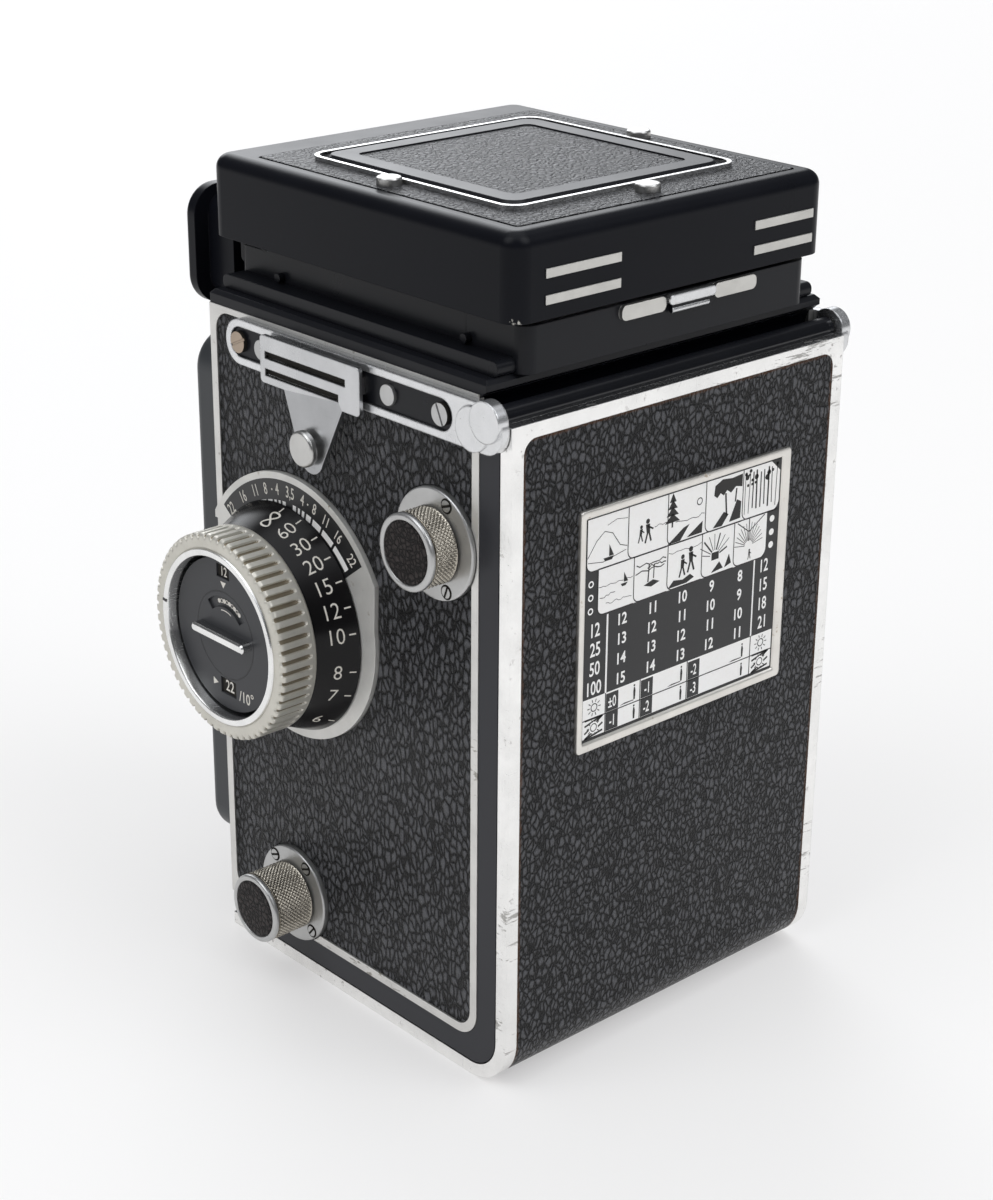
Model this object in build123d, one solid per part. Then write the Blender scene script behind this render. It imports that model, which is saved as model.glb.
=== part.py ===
"""Twin lens reflex camera for 6 x 6 cm roll film, an assembly of separate pieces.

Millimetres, +Z up. The lenses face -Y, the hinged back is at +Y, the focusing knob is on +X and the film
crank on -X. The origin is on the axis of the tripod socket, in the plane the camera stands on.
"""
import math
import os

from build123d import *

os.makedirs("parts", exist_ok=True)

# ---- driving dimensions -------------------------------------------------------------------------------
HX = 38.9            # half width of the painted body
SIDE = 38.0          # side wall under the leather
FRONT = -39.0        # front trim plane
BACK = 39.0          # outer face of the back door
TOP = 124.0          # top of the casting
PLATE_T = 126.4      # top of the top plate
TAKE_Z = 48.0        # taking lens axis
LENS_PITCH = 42.0    # distance between the two lens axes
VIEW_Z = TAKE_Z + LENS_PITCH
MIRROR_C = 98.0      # mirror plane: z = y + MIRROR_C
SPOOL_R = 12.3       # film spool flange radius
CHAMBER_R = 12.9     # spool chamber radius
UP_Y, UP_Z = 21.5, 96.6      # take-up spool and upper knob axis
LO_Y, LO_Z = -18.8, 15.3     # supply spool and lower knob axis
FOC_Y, FOC_Z = -18.5, 71.3   # focusing knob axis
CRK_Y, CRK_Z = 4.0, 64.0     # crank axis
HINGE_Y, HINGE_Z = 35.0, 120.8   # back door hinge
LID_Y, LID_Z = -38.5, 146.0      # hood lid hinge
DOOR_IN = 36.4       # inner face of the back door
DOOR_TOP = 120.36
FLOOR_IN = 2.45      # inner face of the bottom of the door
THREAD_R = 3.175     # 1/4 in tripod thread
STD_X = 33.0         # half width of the lens standard
STD_F, STD_B = -53.8, -40.0      # front and rear of the lens standard
STD_Z0, STD_Z1 = 12.0, 114.5
WHEEL_X, WHEEL_Z = 23.0, 70.6    # aperture and speed wheels
LID = (-35.8, 35.8, -42.3, 35.8, 135.0, 149.2)

OUT = {}


def box(x0, x1, y0, y1, z0, z1):
    return Pos((x0 + x1) / 2, (y0 + y1) / 2, (z0 + z1) / 2) * Box(abs(x1 - x0), abs(y1 - y0), abs(z1 - z0))


def rbox(axis, x0, x1, y0, y1, z0, z1, r):
    b = box(x0, x1, y0, y1, z0, z1)
    return fillet(b.edges().filter_by(axis), r)


def cx(y, z, r, x0, x1):
    return Pos((x0 + x1) / 2, y, z) * Rot(0, 90, 0) * Cylinder(r, abs(x1 - x0))


def cy(x, z, r, y0, y1):
    return Pos(x, (y0 + y1) / 2, z) * Rot(90, 0, 0) * Cylinder(r, abs(y1 - y0))


def cz(x, y, r, z0, z1):
    return Pos(x, y, (z0 + z1) / 2) * Cylinder(r, abs(z1 - z0))


def tube_y(x, z, ro, ri, y0, y1):
    return cy(x, z, ro, y0, y1) - cy(x, z, ri, y0 - 1, y1 + 1)


def tube_x(y, z, ro, ri, x0, x1):
    return cx(y, z, ro, x0, x1) - cx(y, z, ri, min(x0, x1) - 1, max(x0, x1) + 1)


def cone_x(y, z, r0, r1, x0, x1):
    """Cone frustum along +X: radius r0 at x0, r1 at x1."""
    return Pos((x0 + x1) / 2, y, z) * Rot(0, 90, 0) * Cone(r0, r1, x1 - x0)


def cone_y(x, z, r0, r1, y0, y1):
    """Cone frustum along Y: radius r0 at y0 (the larger y), r1 at y1."""
    return Pos(x, (y0 + y1) / 2, z) * Rot(90, 0, 0) * Cone(r0, r1, abs(y1 - y0))


def prism_x(pts, x0, x1):
    f = Face(Wire.make_polygon([Vector(x0, y, z) for y, z in pts], close=True))
    return extrude(f, amount=x1 - x0, dir=(1, 0, 0))


def prism_z(pts, z0, z1):
    f = Face(Wire.make_polygon([Vector(x, y, z0) for x, y in pts], close=True))
    return extrude(f, amount=z1 - z0, dir=(0, 0, 1))


def slot_screw(y, z, r, x0, x1, s=1, ang=20.0):
    """Slotted cheese head on a side wall; s is the side, x0 the seat and x1 the top (both positive)."""
    c = cx(y, z, r, s * x0, s * x1)
    cut = Pos(s * x1, y, z) * Rot(ang, 0, 0) * Box(0.5, 2.4 * r, 0.4)
    return c - cut


def mir(s):
    return mirror(s, Plane.YZ)


def put(name, *solids):
    s = []
    for q in solids:
        if isinstance(q, (list, tuple)):
            for p in q:
                s += list(p.solids())
        else:
            s += list(q.solids())
    OUT[name] = s[0] if len(s) == 1 else Compound(children=s)


# ---- body casting ---------------------------------------------------------------------------------------
sh = box(-SIDE, SIDE, -38.2, 36.2, 2.75, TOP)
sh = fillet(sh.edges().filter_by(Axis.X).filter_by(lambda e: e.center().Y > 30 and e.center().Z < 10), 6.2)
strip = box(-HX, HX, -38.2, 36.2, 2.75, TOP)
strip = fillet(strip.edges().filter_by(Axis.X).filter_by(lambda e: e.center().Y > 30 and e.center().Z < 10), 6.2)
trim_out = rbox(Axis.X, -50, 50, -60.0, 31.6, 7.2, 160.0, 5.0)
strip = strip - trim_out - box(-SIDE + 0.01, SIDE - 0.01, -60, 60, -5, 160)
strip = strip - cx(LO_Y, LO_Z, 9.45, 30, 60)
sh = sh + strip
# front chamber for the sliding box of the lens standard
sh = sh - box(-29.6, 29.6, -39, -26, 30.9, 109.6)
# mirror chamber, open at the top
b = MIRROR_C - 3.7
sh = sh - prism_x([(-30, -30 + b), (20.4, 20.4 + b), (20.4, 130), (-36.4, 130), (-36.4, 108), (-30, 108)], -28.6, 28.6)
# light cone of the taking lens
f0 = Face(Wire.make_polygon([Vector(x, -27, z) for x, z in ((-15, TAKE_Z - 14.8), (15, TAKE_Z - 14.8), (15, TAKE_Z + 14.8), (-15, TAKE_Z + 14.8))], close=True))
f1 = Face(Wire.make_polygon([Vector(x, 33.4, z) for x, z in ((-28.2, TAKE_Z - 28.2), (28.2, TAKE_Z - 28.2), (28.2, TAKE_Z + 28.2), (-28.2, TAKE_Z + 28.2))], close=True))
sh = sh - Solid.make_loft([f0.outer_wire(), f1.outer_wire()])
# film channel behind the gate, spool chambers and the channel along the bottom
sh = sh - box(-31.8, 31.8, 33.0, 37.0, 8.0, 110.0)
sh = sh - cx(UP_Y, UP_Z, CHAMBER_R, -31.8, 31.8) - box(-31.8, 31.8, UP_Y, 37, UP_Z - CHAMBER_R, UP_Z + CHAMBER_R)
sh = sh - cx(LO_Y, LO_Z, CHAMBER_R, -31.8, 31.8) - box(-31.8, 31.8, LO_Y - CHAMBER_R, LO_Y + CHAMBER_R, 2, LO_Z)
sh = sh - box(-31.8, 31.8, -8, 33.5, 2, 9.8)
sh = sh - box(-31.8, 31.8, 24.5, 37, 2, 14.6) - box(-31.8, 31.8, 27.2, 37, 77.0, 85.0)
# hinge cove along the top rear edge
sh = sh - cx(HINGE_Y, HINGE_Z, 4.3, -45, 45) - box(-45, 45, HINGE_Y, 40, HINGE_Z - 0.5, 130)
# bores for the knob shafts, the crank and the roller pins
sh = sh - cx(FOC_Y, FOC_Z, 3.05, 29, 45) - cx(UP_Y, UP_Z, 3.05, 31, 45) - cx(LO_Y, LO_Z, 3.05, 31, 45)
sh = sh - cx(CRK_Y, CRK_Z, 3.05, -45, -33.0)
sh = sh - cx(29.5, 9.5, 1.3, -33.4, 33.4) - cx(30.8, 81.0, 1.3, -33.4, 33.4)
sh = sh - cx(UP_Y, UP_Z, 2.56, -34.5, -31) - cx(LO_Y, LO_Z, 2.56, -34.5, -31)

# ---- top plate and finder screen ------------------------------------------------------------------------
tp = box(-HX, HX, FRONT + 0.1, 33.07, TOP, PLATE_T)
tp = chamfer(tp.edges().group_by(Axis.Z)[-1], 0.7)
tp = tp - box(-30.0, 30.0, -37.0, 21.0, 120, 130) - cx(HINGE_Y, HINGE_Z, 4.3, -45, 45)
sf = box(-29.9, 29.9, -36.9, 20.9, TOP, 126.0) - box(-27.5, 27.5, -34.5, 18.5, 120, 130) - box(-28.8, 28.8, -35.8, 19.8, 124.6, 130)
put("top_plate", tp, sf)
put("focusing_screen", box(-28.7, 28.7, -35.7, 19.7, 124.6, 126.0))

# ---- reflex mirror --------------------------------------------------------------------------------------
s2 = math.sqrt(2.0)


def slope_plate(d0, d1, wf, wr, y0, y1):
    """Plate along the 45 degree slope, from d0 to d1 below the mirror plane; trapezoid in width."""
    n = Vector(0, 1 / s2, -1 / s2)
    a = Vector(0, y0, y0 + MIRROR_C) + n * d0
    c = Vector(0, y1, y1 + MIRROR_C) + n * d0
    f = Face(Wire.make_polygon([a + Vector(-wf, 0, 0), a + Vector(wf, 0, 0), c + Vector(wr, 0, 0), c + Vector(-wr, 0, 0)], close=True))
    return extrude(f, amount=d1 - d0, dir=(n.X, n.Y, n.Z))


put("reflex_mirror", slope_plate(0.0, 1.2, 17.0, 27.0, -32.0, 18.5))
put("body_casting", sh + slope_plate(1.22, 2.75, 18.0, 28.2, -33.0, 19.0))

# ---- side coverings and trim ----------------------------------------------------------------------------
inner = rbox(Axis.X, SIDE - 2, 60, -37.3, 29.9, 8.9, 122.9, 3.5)
trim = rbox(Axis.X, SIDE, 39.05, FRONT, 31.55, 7.25, TOP, 5.0)
trim = trim + box(SIDE, 39.05, FRONT, -30, 115, TOP) + box(SIDE, 39.05, FRONT, -30, 7.25, 20) + box(SIDE, 39.05, 25, 31.55, 115, TOP)
trim = trim - inner
front_edge = box(35.0, 39.05, FRONT, -38.2, 7.25, TOP)
trim = trim + front_edge
hole_up = cx(UP_Y, UP_Z, 9.75, 30, 60)
hole_lo = cx(LO_Y, LO_Z, 9.5, 30, 60)
hole_foc = cx(-17.3, 72.4, 23.6, 30, 60) + (cx(-16.8, 71.9, 26.2, 30, 60) & box(30, 60, -60, 30, 84.0, 110)) + prism_x([(2.0, 84.4), (6.35, 84.4), (6.05, 75.8), (3.0, 75.8)], 30, 60)
left_trim = trim + box(SIDE, 39.0, 27.0, 31.5, 92.0, 101.2) + box(SIDE, 39.0, -23.5, -14.1, 7.3, 12.0)
left_trim = left_trim - hole_up - hole_lo - hole_foc
cover = rbox(Axis.X, SIDE, 38.8, -37.2, 29.8, 9.0, 122.8, 3.4)
left_cover = cover - hole_up - hole_lo - hole_foc - left_trim
crank_hole = cx(CRK_Y, CRK_Z, 13.2, -60, -30)
count_hole = cx(17.0, 93.0, 6.7, -60, -30)
front_cov = box(-34.9, 34.9, -38.9, -38.2, 7.3, 123.9) - box(-29.6, 29.6, -40, -30, 30.9, 109.6)
put("body_trim", left_trim, mir(trim))
put("body_leather", left_cover, mir(cover) - crank_hole - count_hole, front_cov)

# ---- strap bars -----------------------------------------------------------------------------------------
SB_Z = 119.4


def strap(s):
    bar = rbox(Axis.X, 39.05, 40.6, -32.2, 38.6, SB_Z - 4.0, SB_Z + 4.0, 3.9)
    bar = bar + cx(HINGE_Y, HINGE_Z, 3.4, 39.05, 41.2) + cx(31.8, 118.9, 3.7, 39.05, 41.0)
    slot = rbox(Axis.X, 38, 45, -30.9, 27.0, SB_Z - 2.7, SB_Z + 2.7, 2.65)
    bar = bar - slot
    inset = rbox(Axis.X, 39.05, 40.1, -30.85, 26.95, SB_Z - 2.65, SB_Z + 2.65, 2.6)
    screws = [slot_screw(-28.7, 119.3, 1.9, 40.1, 40.85, 1, 25), slot_screw(24.2, 119.4, 1.9, 40.1, 40.85, 1, -65)]
    studs = [cx(-22.3, 119.3, 1.75, 40.1, 40.7), cx(11.2, 119.4, 1.75, 40.1, 40.7)]
    # slotted strap plate: folded over the bar, with a tapered tail that carries a round stud
    pl = rbox(Axis.X, 41.4, 42.2, -20.4, 6.0, 114.6, 122.9, 0.8)
    pl = pl - box(40, 44, -19.2, 2.4, 118.9, 120.2) - box(40, 44, -19.2, 0.6, 115.9, 117.2)
    tail = prism_x([(-14.0, 114.7), (1.6, 114.7), (-4.2, 103.4), (-9.8, 103.4)], 41.4, 42.2) + cx(-7.0, 104.6, 3.1, 41.4, 42.2)
    pl = pl + tail
    cl = [box(40.1, 41.4, -17.6, -14.6, 118.0, 120.9), box(40.1, 41.4, 2.9, 5.0, 118.0, 120.9)]
    stud = cx(-7.4, 106.1, 1.6, 42.2, 43.0) + cx(-7.4, 106.1, 3.16, 43.0, 44.2)
    stud = fillet(stud.edges().group_by(Axis.X)[-1], 0.5)
    bars = bar, inset, screws + studs, pl, cl, stud
    if s < 0:
        bars = mir(bar), mir(inset), [mir(q) for q in screws + studs], mir(pl), [mir(q) for q in cl], mir(stud)
    return bars


L = strap(1)
R = strap(-1)
put("strap_bars", L[0], R[0])
put("strap_bar_insets", L[1], R[1])
put("left_strap_plate", L[3] + L[4][0] + L[4][1], L[5])
put("right_strap_plate", R[3] + R[4][0] + R[4][1], R[5])

# ---- knob plates ----------------------------------------------------------------------------------------
up = cx(UP_Y, UP_Z, 9.58, SIDE, 39.8)
up = fillet(up.edges().group_by(Axis.X)[-1], 0.35) - cx(UP_Y, UP_Z, 3.2, 30, 50)
up = up - cx(UP_Y + 3.2, UP_Z + 7.4, 1.05, 39.2, 41) - cx(UP_Y + 3.2, UP_Z - 7.4, 1.05, 39.2, 41)
lo = cx(LO_Y, LO_Z, 9.32, SIDE, 39.8)
lo = fillet(lo.edges().group_by(Axis.X)[-1], 0.35) - cx(LO_Y, LO_Z, 3.2, 30, 50)
lo = lo - cx(LO_Y + 4.2, LO_Z + 6.8, 1.05, 39.2, 41) - cx(LO_Y + 5.6, LO_Z - 5.6, 1.05, 39.2, 41) - cx(LO_Y - 5.0, LO_Z + 6.2, 1.05, 39.2, 41)
put("side_screws", L[2], R[2], slot_screw(UP_Y + 3.2, UP_Z + 7.4, 1.0, 39.2, 39.95), slot_screw(UP_Y + 3.2, UP_Z - 7.4, 1.0, 39.2, 39.95, 1, 70),
    slot_screw(LO_Y + 4.2, LO_Z + 6.8, 1.0, 39.2, 39.95), slot_screw(LO_Y + 5.6, LO_Z - 5.6, 1.0, 39.2, 39.95, 1, 50), slot_screw(LO_Y - 5.0, LO_Z + 6.2, 1.0, 39.2, 39.95))
dof = cx(-17.3, 72.4, 23.4, SIDE, 39.6) + (cx(-16.8, 71.9, 26.0, SIDE, 39.6) & box(30, 60, -60, 30, 84.2, 110)) + prism_x([(2.0, 84.4), (6.1, 84.3), (5.83, 76.0), (3.0, 76.0)], SIDE, 39.6)
dof = (dof & box(30, 60, FRONT + 0.05, 30, 30, 110)) - cx(FOC_Y, FOC_Z, 3.2, 30, 50)
put("depth_of_field_plate", dof)

# ---- crank plate and frame counter ----------------------------------------------------------------------
cp = cx(CRK_Y, CRK_Z, 13.0, -39.9, -SIDE)
cp = cp - cx(CRK_Y, CRK_Z, 3.2, -50, -30)
put("knob_base_plates", up, lo, cp)
cw = tube_x(17.0, 93.0, 6.5, 4.6, -39.9, -SIDE) + cx(17.0, 93.0, 6.5, -38.4, -SIDE)
put("frame_counter", cw, cx(17.0, 93.0, 4.3, -39.0, -38.4), cx(17.0, 93.0, 4.6, -39.7, -39.1))

# ---- tripod bridge and film rollers ---------------------------------------------------------------------
br = box(-31.8, 31.8, -6.5, 6.5, 3.0, 5.2) + cz(0, 0, 6.5, 1.3, 8.0)
br = br - cz(0, 0, THREAD_R, 0, 9)
br = br - cz(0, 0, 6.5, 8.0, 9)
put("tripod_bridge", br)


def roller(y, z, r):
    return cx(y, z, r, -31.5, 31.5) + cx(y, z, 1.22, -33.2, 33.2)


put("lower_film_roller", roller(29.5, 9.5, 3.4))
put("upper_film_roller", roller(30.8, 81.0, 1.9))


def spool(y, z):
    q = cx(y, z, 5.5, -30.6, 30.6) + cx(y, z, SPOOL_R, -31.3, -30.4) + cx(y, z, SPOOL_R, 30.4, 31.3)
    q = q - cx(y, z, 2.58, 26.0, 32) - cx(y, z, 2.58, -32, -26.0) - box(-28.5, 28.5, y - 0.5, y + 0.5, z - 7, z + 7)
    return q


put("takeup_spool", spool(UP_Y, UP_Z))
put("supply_spool", spool(LO_Y, LO_Z))
put("pivot_pins", cx(HINGE_Y, HINGE_Z, 1.2, 31.2, 39.05), cx(HINGE_Y, HINGE_Z, 1.2, -39.05, -31.2), cx(UP_Y, UP_Z, 2.5, -34.4, -28.5), cx(LO_Y, LO_Z, 2.5, -34.4, -28.5))

# ---- film spool knobs (pulled out to free a spool) ------------------------------------------------------


def spool_knob(y, z, r, x1):
    k = cx(y, z, r, 40.0, x1)
    k = chamfer(k.edges().group_by(Axis.X)[-1], 0.5)
    k = k - cx(y, z, 5.4, x1 - 0.5, x1 + 1)
    k = k + cx(y, z, 3.0, 31.9, 40.1) + cx(y, z, 2.5, 28.8, 32.0)
    return k


put("upper_spool_knob", spool_knob(UP_Y, UP_Z, 6.6, 45.8), cx(UP_Y, UP_Z, 5.3, 45.3, 45.9))
put("lower_spool_knob", spool_knob(LO_Y, LO_Z, 6.5, 48.7), cx(LO_Y, LO_Z, 5.3, 48.2, 48.9))

# ---- focusing knob --------------------------------------------------------------------------------------
sk = cone_x(FOC_Y, FOC_Z, 21.0, 17.8, 39.85, 47.0) + cx(FOC_Y, FOC_Z, 13.95, 47.0, 51.0)
sk = sk + cx(FOC_Y, FOC_Z, 3.0, 30.0, 40.0)
put("focus_scale_skirt", sk)
ring = cx(FOC_Y, FOC_Z, 18.6, 47.1, 54.6)
ring = chamfer(ring.edges(), 0.5)
ring = ring - cx(FOC_Y, FOC_Z, 14.0, 46, 56)
cutters = []
for i in range(60):
    a = 2 * math.pi * i / 60
    cutters.append(Pos(50.85, FOC_Y + 18.85 * math.cos(a), FOC_Z + 18.85 * math.sin(a)) * Rot(0, 90, 0) * Cylinder(0.55, 6.1))
ring = ring - cutters
put("focus_grip_ring", ring + tube_x(FOC_Y, FOC_Z, 16.0, 14.6, 54.5, 54.95))
face = cx(FOC_Y, FOC_Z, 13.95, 51.05, 52.9)
face = face - tube_x(FOC_Y, FOC_Z, 8.1, 7.95, 52.8, 54)
face = face - box(52.5, 54, FOC_Y - 1.9, FOC_Y + 1.7, FOC_Z + 10.6, FOC_Z + 13.0) - box(52.5, 54, FOC_Y - 1.8, FOC_Y + 2.6, FOC_Z - 11.3, FOC_Z - 8.3)
arc = tube_x(FOC_Y, FOC_Z, 7.1, 5.2, 52.5, 54) & prism_x([(FOC_Y, FOC_Z), (FOC_Y - 9.3, FOC_Z + 10.0), (FOC_Y + 13.3, FOC_Z + 10.0)], 52.5, 54)
face = face - arc
put("film_reminder_dial", face)
hb = rbox(Axis.X, 52.9, 54.9, FOC_Y - 7.5, FOC_Y + 7.5, FOC_Z - 0.85, FOC_Z + 0.85, 0.8)
hb = chamfer(hb.edges().group_by(Axis.X)[-1], 0.3)
put("dial_handle", hb)

# ---- lens standard --------------------------------------------------------------------------------------
st = rbox(Axis.Y, -STD_X, STD_X, STD_F, STD_B, STD_Z0, STD_Z1, 7.0)
st = fillet(st.edges().group_by(Axis.Y)[0], 2.4)
st = st - box(-28.4, 28.4, STD_F + 2.6, STD_B + 1, 31.9, 108.6)
rim = box(-29.2, 29.2, STD_B - 0.5, -27.0, 31.3, 109.2) - box(-27.8, 27.8, -60, -20, 32.7, 107.8)
st = st + rim
st = st - cy(0, TAKE_Z, 12.4, -60, -45) - cy(0, VIEW_Z, 14.2, -60, -45)
st = st - cy(-24.0, 22.5, 3.3, -60, -46) - cy(-WHEEL_X, WHEEL_Z, 1.8, -60, -50) - cy(WHEEL_X, WHEEL_Z, 1.8, -60, -50)
put("lens_standard", st)
put("shutter_housing", tube_y(0, TAKE_Z, 23.5, 12.4, -57.4, -53.8) - cy(-24.0, 22.5, 5.6, -60, -50), tube_y(0, TAKE_Z, 10.9, 6.0, -55.4, -55.0))
TLB = (tube_y(0, TAKE_Z, 16.8, 12.0, -66.5, -57.4) + tube_y(0, TAKE_Z, 12.3, 11.0, -57.4, -49.0))
TBY = (tube_y(0, TAKE_Z, 17.6, 15.2, -69.0, -66.5) + (tube_y(0, TAKE_Z, 18.6, 17.5, -68.6, -67.2) & (box(-5, 5, -70, -60, 20, 80) + box(-25, 25, -70, -60, TAKE_Z - 5, TAKE_Z + 5))))


def lens_glass(z, r, y0, bulge, y1):
    """Glass element: flat at y1, domed forward by bulge at y0."""
    R_ = (r * r + bulge * bulge) / (2 * bulge)
    q = cy(0, z, r, y0 - bulge, y1)
    ball = Pos(0, y0 - bulge + R_, z) * Sphere(R_)
    return q & (ball + cy(0, z, r, y0, y1))


TGL = (lens_glass(TAKE_Z, 10.9, -61.5, 1.6, -58.0), cy(0, TAKE_Z, 10.9, -52.5, -50.2))
put("taking_lens_barrel", TLB)
put("viewing_lens_barrel", tube_y(0, VIEW_Z, 18.4, 13.0, -66.0, -53.8) + tube_y(0, VIEW_Z, 14.1, 13.0, -66.0, -51.5))
put("lens_bayonets", TBY, tube_y(0, VIEW_Z, 17.6, 15.2, -68.5, -66.0) + (tube_y(0, VIEW_Z, 18.6, 17.5, -68.1, -66.7) & (box(-5, 5, -70, -60, 60, 120) + box(-25, 25, -70, -60, VIEW_Z - 5, VIEW_Z + 5))))
put("lens_elements", TGL[0], TGL[1], lens_glass(VIEW_Z, 12.9, -63.0, 1.9, -58.5), cy(0, VIEW_Z, 12.9, -56.0, -53.0))
lp = rbox(Axis.Y, -31.5, 31.5, -54.2, -53.8, 15.2, 112.0, 5.0)
lp = lp - cy(0, TAKE_Z, 23.8, -60, -50) - cy(0, VIEW_Z, 18.7, -60, -50) - cy(-24.0, 22.5, 5.9, -60, -50) - cy(24.0, 22.5, 4.4, -60, -50) - cy(-WHEEL_X, WHEEL_Z, 8.2, -60, -50) - cy(WHEEL_X, WHEEL_Z, 8.2, -60, -50) - box(-8.7, 8.7, -60, -50, 108.8, 120)
put("standard_face_leather", lp)
rw = rbox(Axis.Y, -8.5, 8.5, -60.5, -53.8, 109.0, 114.2, 1.8) - box(-7.0, 7.0, -62, -59.9, 110.2, 113.0)
rw = rw - cy(0, VIEW_Z, 18.7, -70, -50)
put("readout_housing", rw, box(-6.9, 6.9, -60.4, -59.95, 110.3, 112.9))
for nm, x in (("aperture_wheel", WHEEL_X), ("speed_wheel", -WHEEL_X)):
    w = cy(x, WHEEL_Z, 7.6, -57.5, -54.0)
    w = chamfer(w.edges().group_by(Axis.Y)[0], 0.5)
    cut = [Pos(x + 7.9 * math.cos(2 * math.pi * i / 24), -55.8, WHEEL_Z + 7.9 * math.sin(2 * math.pi * i / 24)) * Rot(90, 0, 0) * Cylinder(0.6, 5) for i in range(24)]
    w = w - cut + cy(x, WHEEL_Z, 1.72, -54.1, -50.5)
    put(nm, w)
rb = cy(-24.0, 22.5, 3.2, -58.6, -48.6)
rb = fillet(rb.edges().group_by(Axis.Y)[0], 0.6)
put("release_button", rb)
put("front_fittings", tube_y(-24.0, 22.5, 5.4, 3.3, -56.0, -53.8), tube_y(24.0, 22.5, 4.2, 2.1, -57.2, -53.8) + cy(24.0, 22.5, 0.8, -56.8, -53.8) + cy(24.0, 22.5, 4.2, -54.3, -53.8))
tl = tube_y(0, TAKE_Z, 19.8, 17.05, -58.6, -57.55) & box(-25, 25, -62, -55, TAKE_Z - 25, TAKE_Z)
lever = Pos(0, 0, 0) * (box(16.5, 22.5, -60.4, -57.55, TAKE_Z - 6.6, TAKE_Z - 3.0))
put("selftimer_lever", (tube_y(0, TAKE_Z, 19.0, 17.1, -58.6, -57.6) + box(18.2, 24.2, -60.4, -57.6, TAKE_Z - 5.6, TAKE_Z - 2.4)) - cy(0, TAKE_Z, 17.1, -62, -56))

# ---- meter housing on the front of the finder -----------------------------------------------------------
nm = rbox(Axis.Y, -33.5, 33.5, -53.4, -50.4, 119.6, 141.4, 5.5)
nm = fillet(nm.edges().group_by(Axis.Y)[0], 1.2) + rbox(Axis.Y, -30.5, 30.5, -50.4, -43.0, 121.0, 140.0, 4.0) + box(-28.0, 28.0, -43.0, -38.9, 124.3, 132.5) - box(-26.5, 26.5, -54, -52.4, 123.5, 137.5)
nm = nm - box(-40, 40, -43.1, -30, 126.35, 140) - box(-40, 40, -43.1, -38.85, 119, 124.3)
nm = nm - box(-28.1, 28.1, -38.95, -30, 119, 130)
put("meter_housing", nm)
hc = box(-26.4, 26.4, -53.3, -52.4, 123.6, 137.4)
grid = []
for i in range(13):
    for j in range(4):
        x = -24.4 + 4.0 * i + (0.0 if j % 2 == 0 else 0.0)
        z = 125.4 + 3.4 * j
        grid.append(box(x - 1.7, x + 1.7, -54, -52.9, z - 1.4, z + 1.4))
put("meter_cell_window", hc - grid)

# ---- finder hood ----------------------------------------------------------------------------------------
hb_ = rbox(Axis.Z, -32.8, 32.8, -38.6, 35.0, PLATE_T, 134.2, 2.5)
hb_ = hb_ - rbox(Axis.Z, -31.4, 31.4, -37.2, 33.6, 126, 140, 1.2)
hb_ = hb_ - box(-40, 40, -45, -30, 133.6, 140)
fl = box(-31.6, 31.6, 21.6, 33.8, PLATE_T, 127.4)
hb_ = hb_ + fl
for s in (1, -1):
    hb_ = hb_ + rbox(Axis.X, s * 29.9, s * 31.5, LID_Y - 1.0, LID_Y + 1.9, 130.0, LID_Z + 1.2, 0.9)
hb_ = hb_ + cy(30.35, 129.6, 0.42, 33.8, -37.4) + cy(-30.35, 129.6, 0.42, 33.8, -37.4) + cx(32.4, 132.5, 0.42, -31.6, 31.6)
hb_ = hb_ - cx(LID_Y, LID_Z, 0.85, -29.0, -32.5) - cx(LID_Y, LID_Z, 0.85, 29.0, 32.5)
rails = []
for s in (1, -1):
    rails.append(rbox(Axis.X, s * 32.8, s * 36.6, -38.0, 33.0, PLATE_T, 128.9, 1.1))
put("hood_rails", rails, [cx(y, 129.9, 0.8, s * 32.8, s * 34.0) for s in (1, -1) for y in (-26.0, 22.0)])
walls = [hb_ & box(-50, 50, -60, -36.4, 120, 160), hb_ & box(-50, 50, 21.4, 60, 120, 160), hb_ & box(-50, 0, -36.4, 21.4, 120, 160), hb_ & box(0, 50, -36.4, 21.4, 120, 160)]
put("hood_base", walls, rbox(Axis.Y, 2.5, 12.5, 35.0, 35.8, 131.6, 134.1, 1.0), rbox(Axis.Y, -19.0, -8.9, 35.0, 35.8, 131.6, 134.1, 1.0))
cl_ = rbox(Axis.Y, -8.6, 2.2, 35.1, 36.4, 132.5, 134.1, 0.7) + box(-7.5, 1.1, 35.1, 35.8, 131.3, 133.0)
put("hood_catch", cl_ + cx(35.55, 131.4, 0.5, -7.5, 1.1))

x0, x1, y0, y1, z0, z1 = LID
lid = rbox(Axis.Z, x0, x1, y0, y1, z0, z1, 3.4)
lid = fillet(lid.edges().group_by(Axis.Z)[-1], 2.5)
lid = lid - rbox(Axis.Z, x0 + 1.5, x1 - 1.5, y0 + 1.5, y1 - 1.5, 130, z1 - 1.6, 2.0)
lid = lid - rbox(Axis.Z, -31.9, 31.9, -33.6, 32.1, z1 - 0.5, z1 + 2, 1.0)
lid = lid - box(x0 + 1.5, x1 - 1.5, -50, -36.0, 130, 141.2)
for s in (1, -1):
    lid = lid - box(s * 29.5, s * 31.9, -45, LID_Y + 3.2, 130, LID_Z + 1.75)
for s in (1, -1):
    lid = lid + box(s * 27.6, s * 29.3, LID_Y - 1.0, LID_Y + 2.5, LID_Z - 1.2, z1 - 1.5) + cx(LID_Y, LID_Z, 0.8, s * 28.0, s * 34.6)
    lid = lid + (box(s * 20.4, s * 22.4, -6.2, -3.0, 144.2, z1 - 1.5) - cx(-4.6, 145.4, 0.65, -40, 40))
fr = rbox(Axis.Z, -24.2, 24.2, -25.5, 22.5, z1 + 0.1, z1 + 0.95, 3.0)
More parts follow.
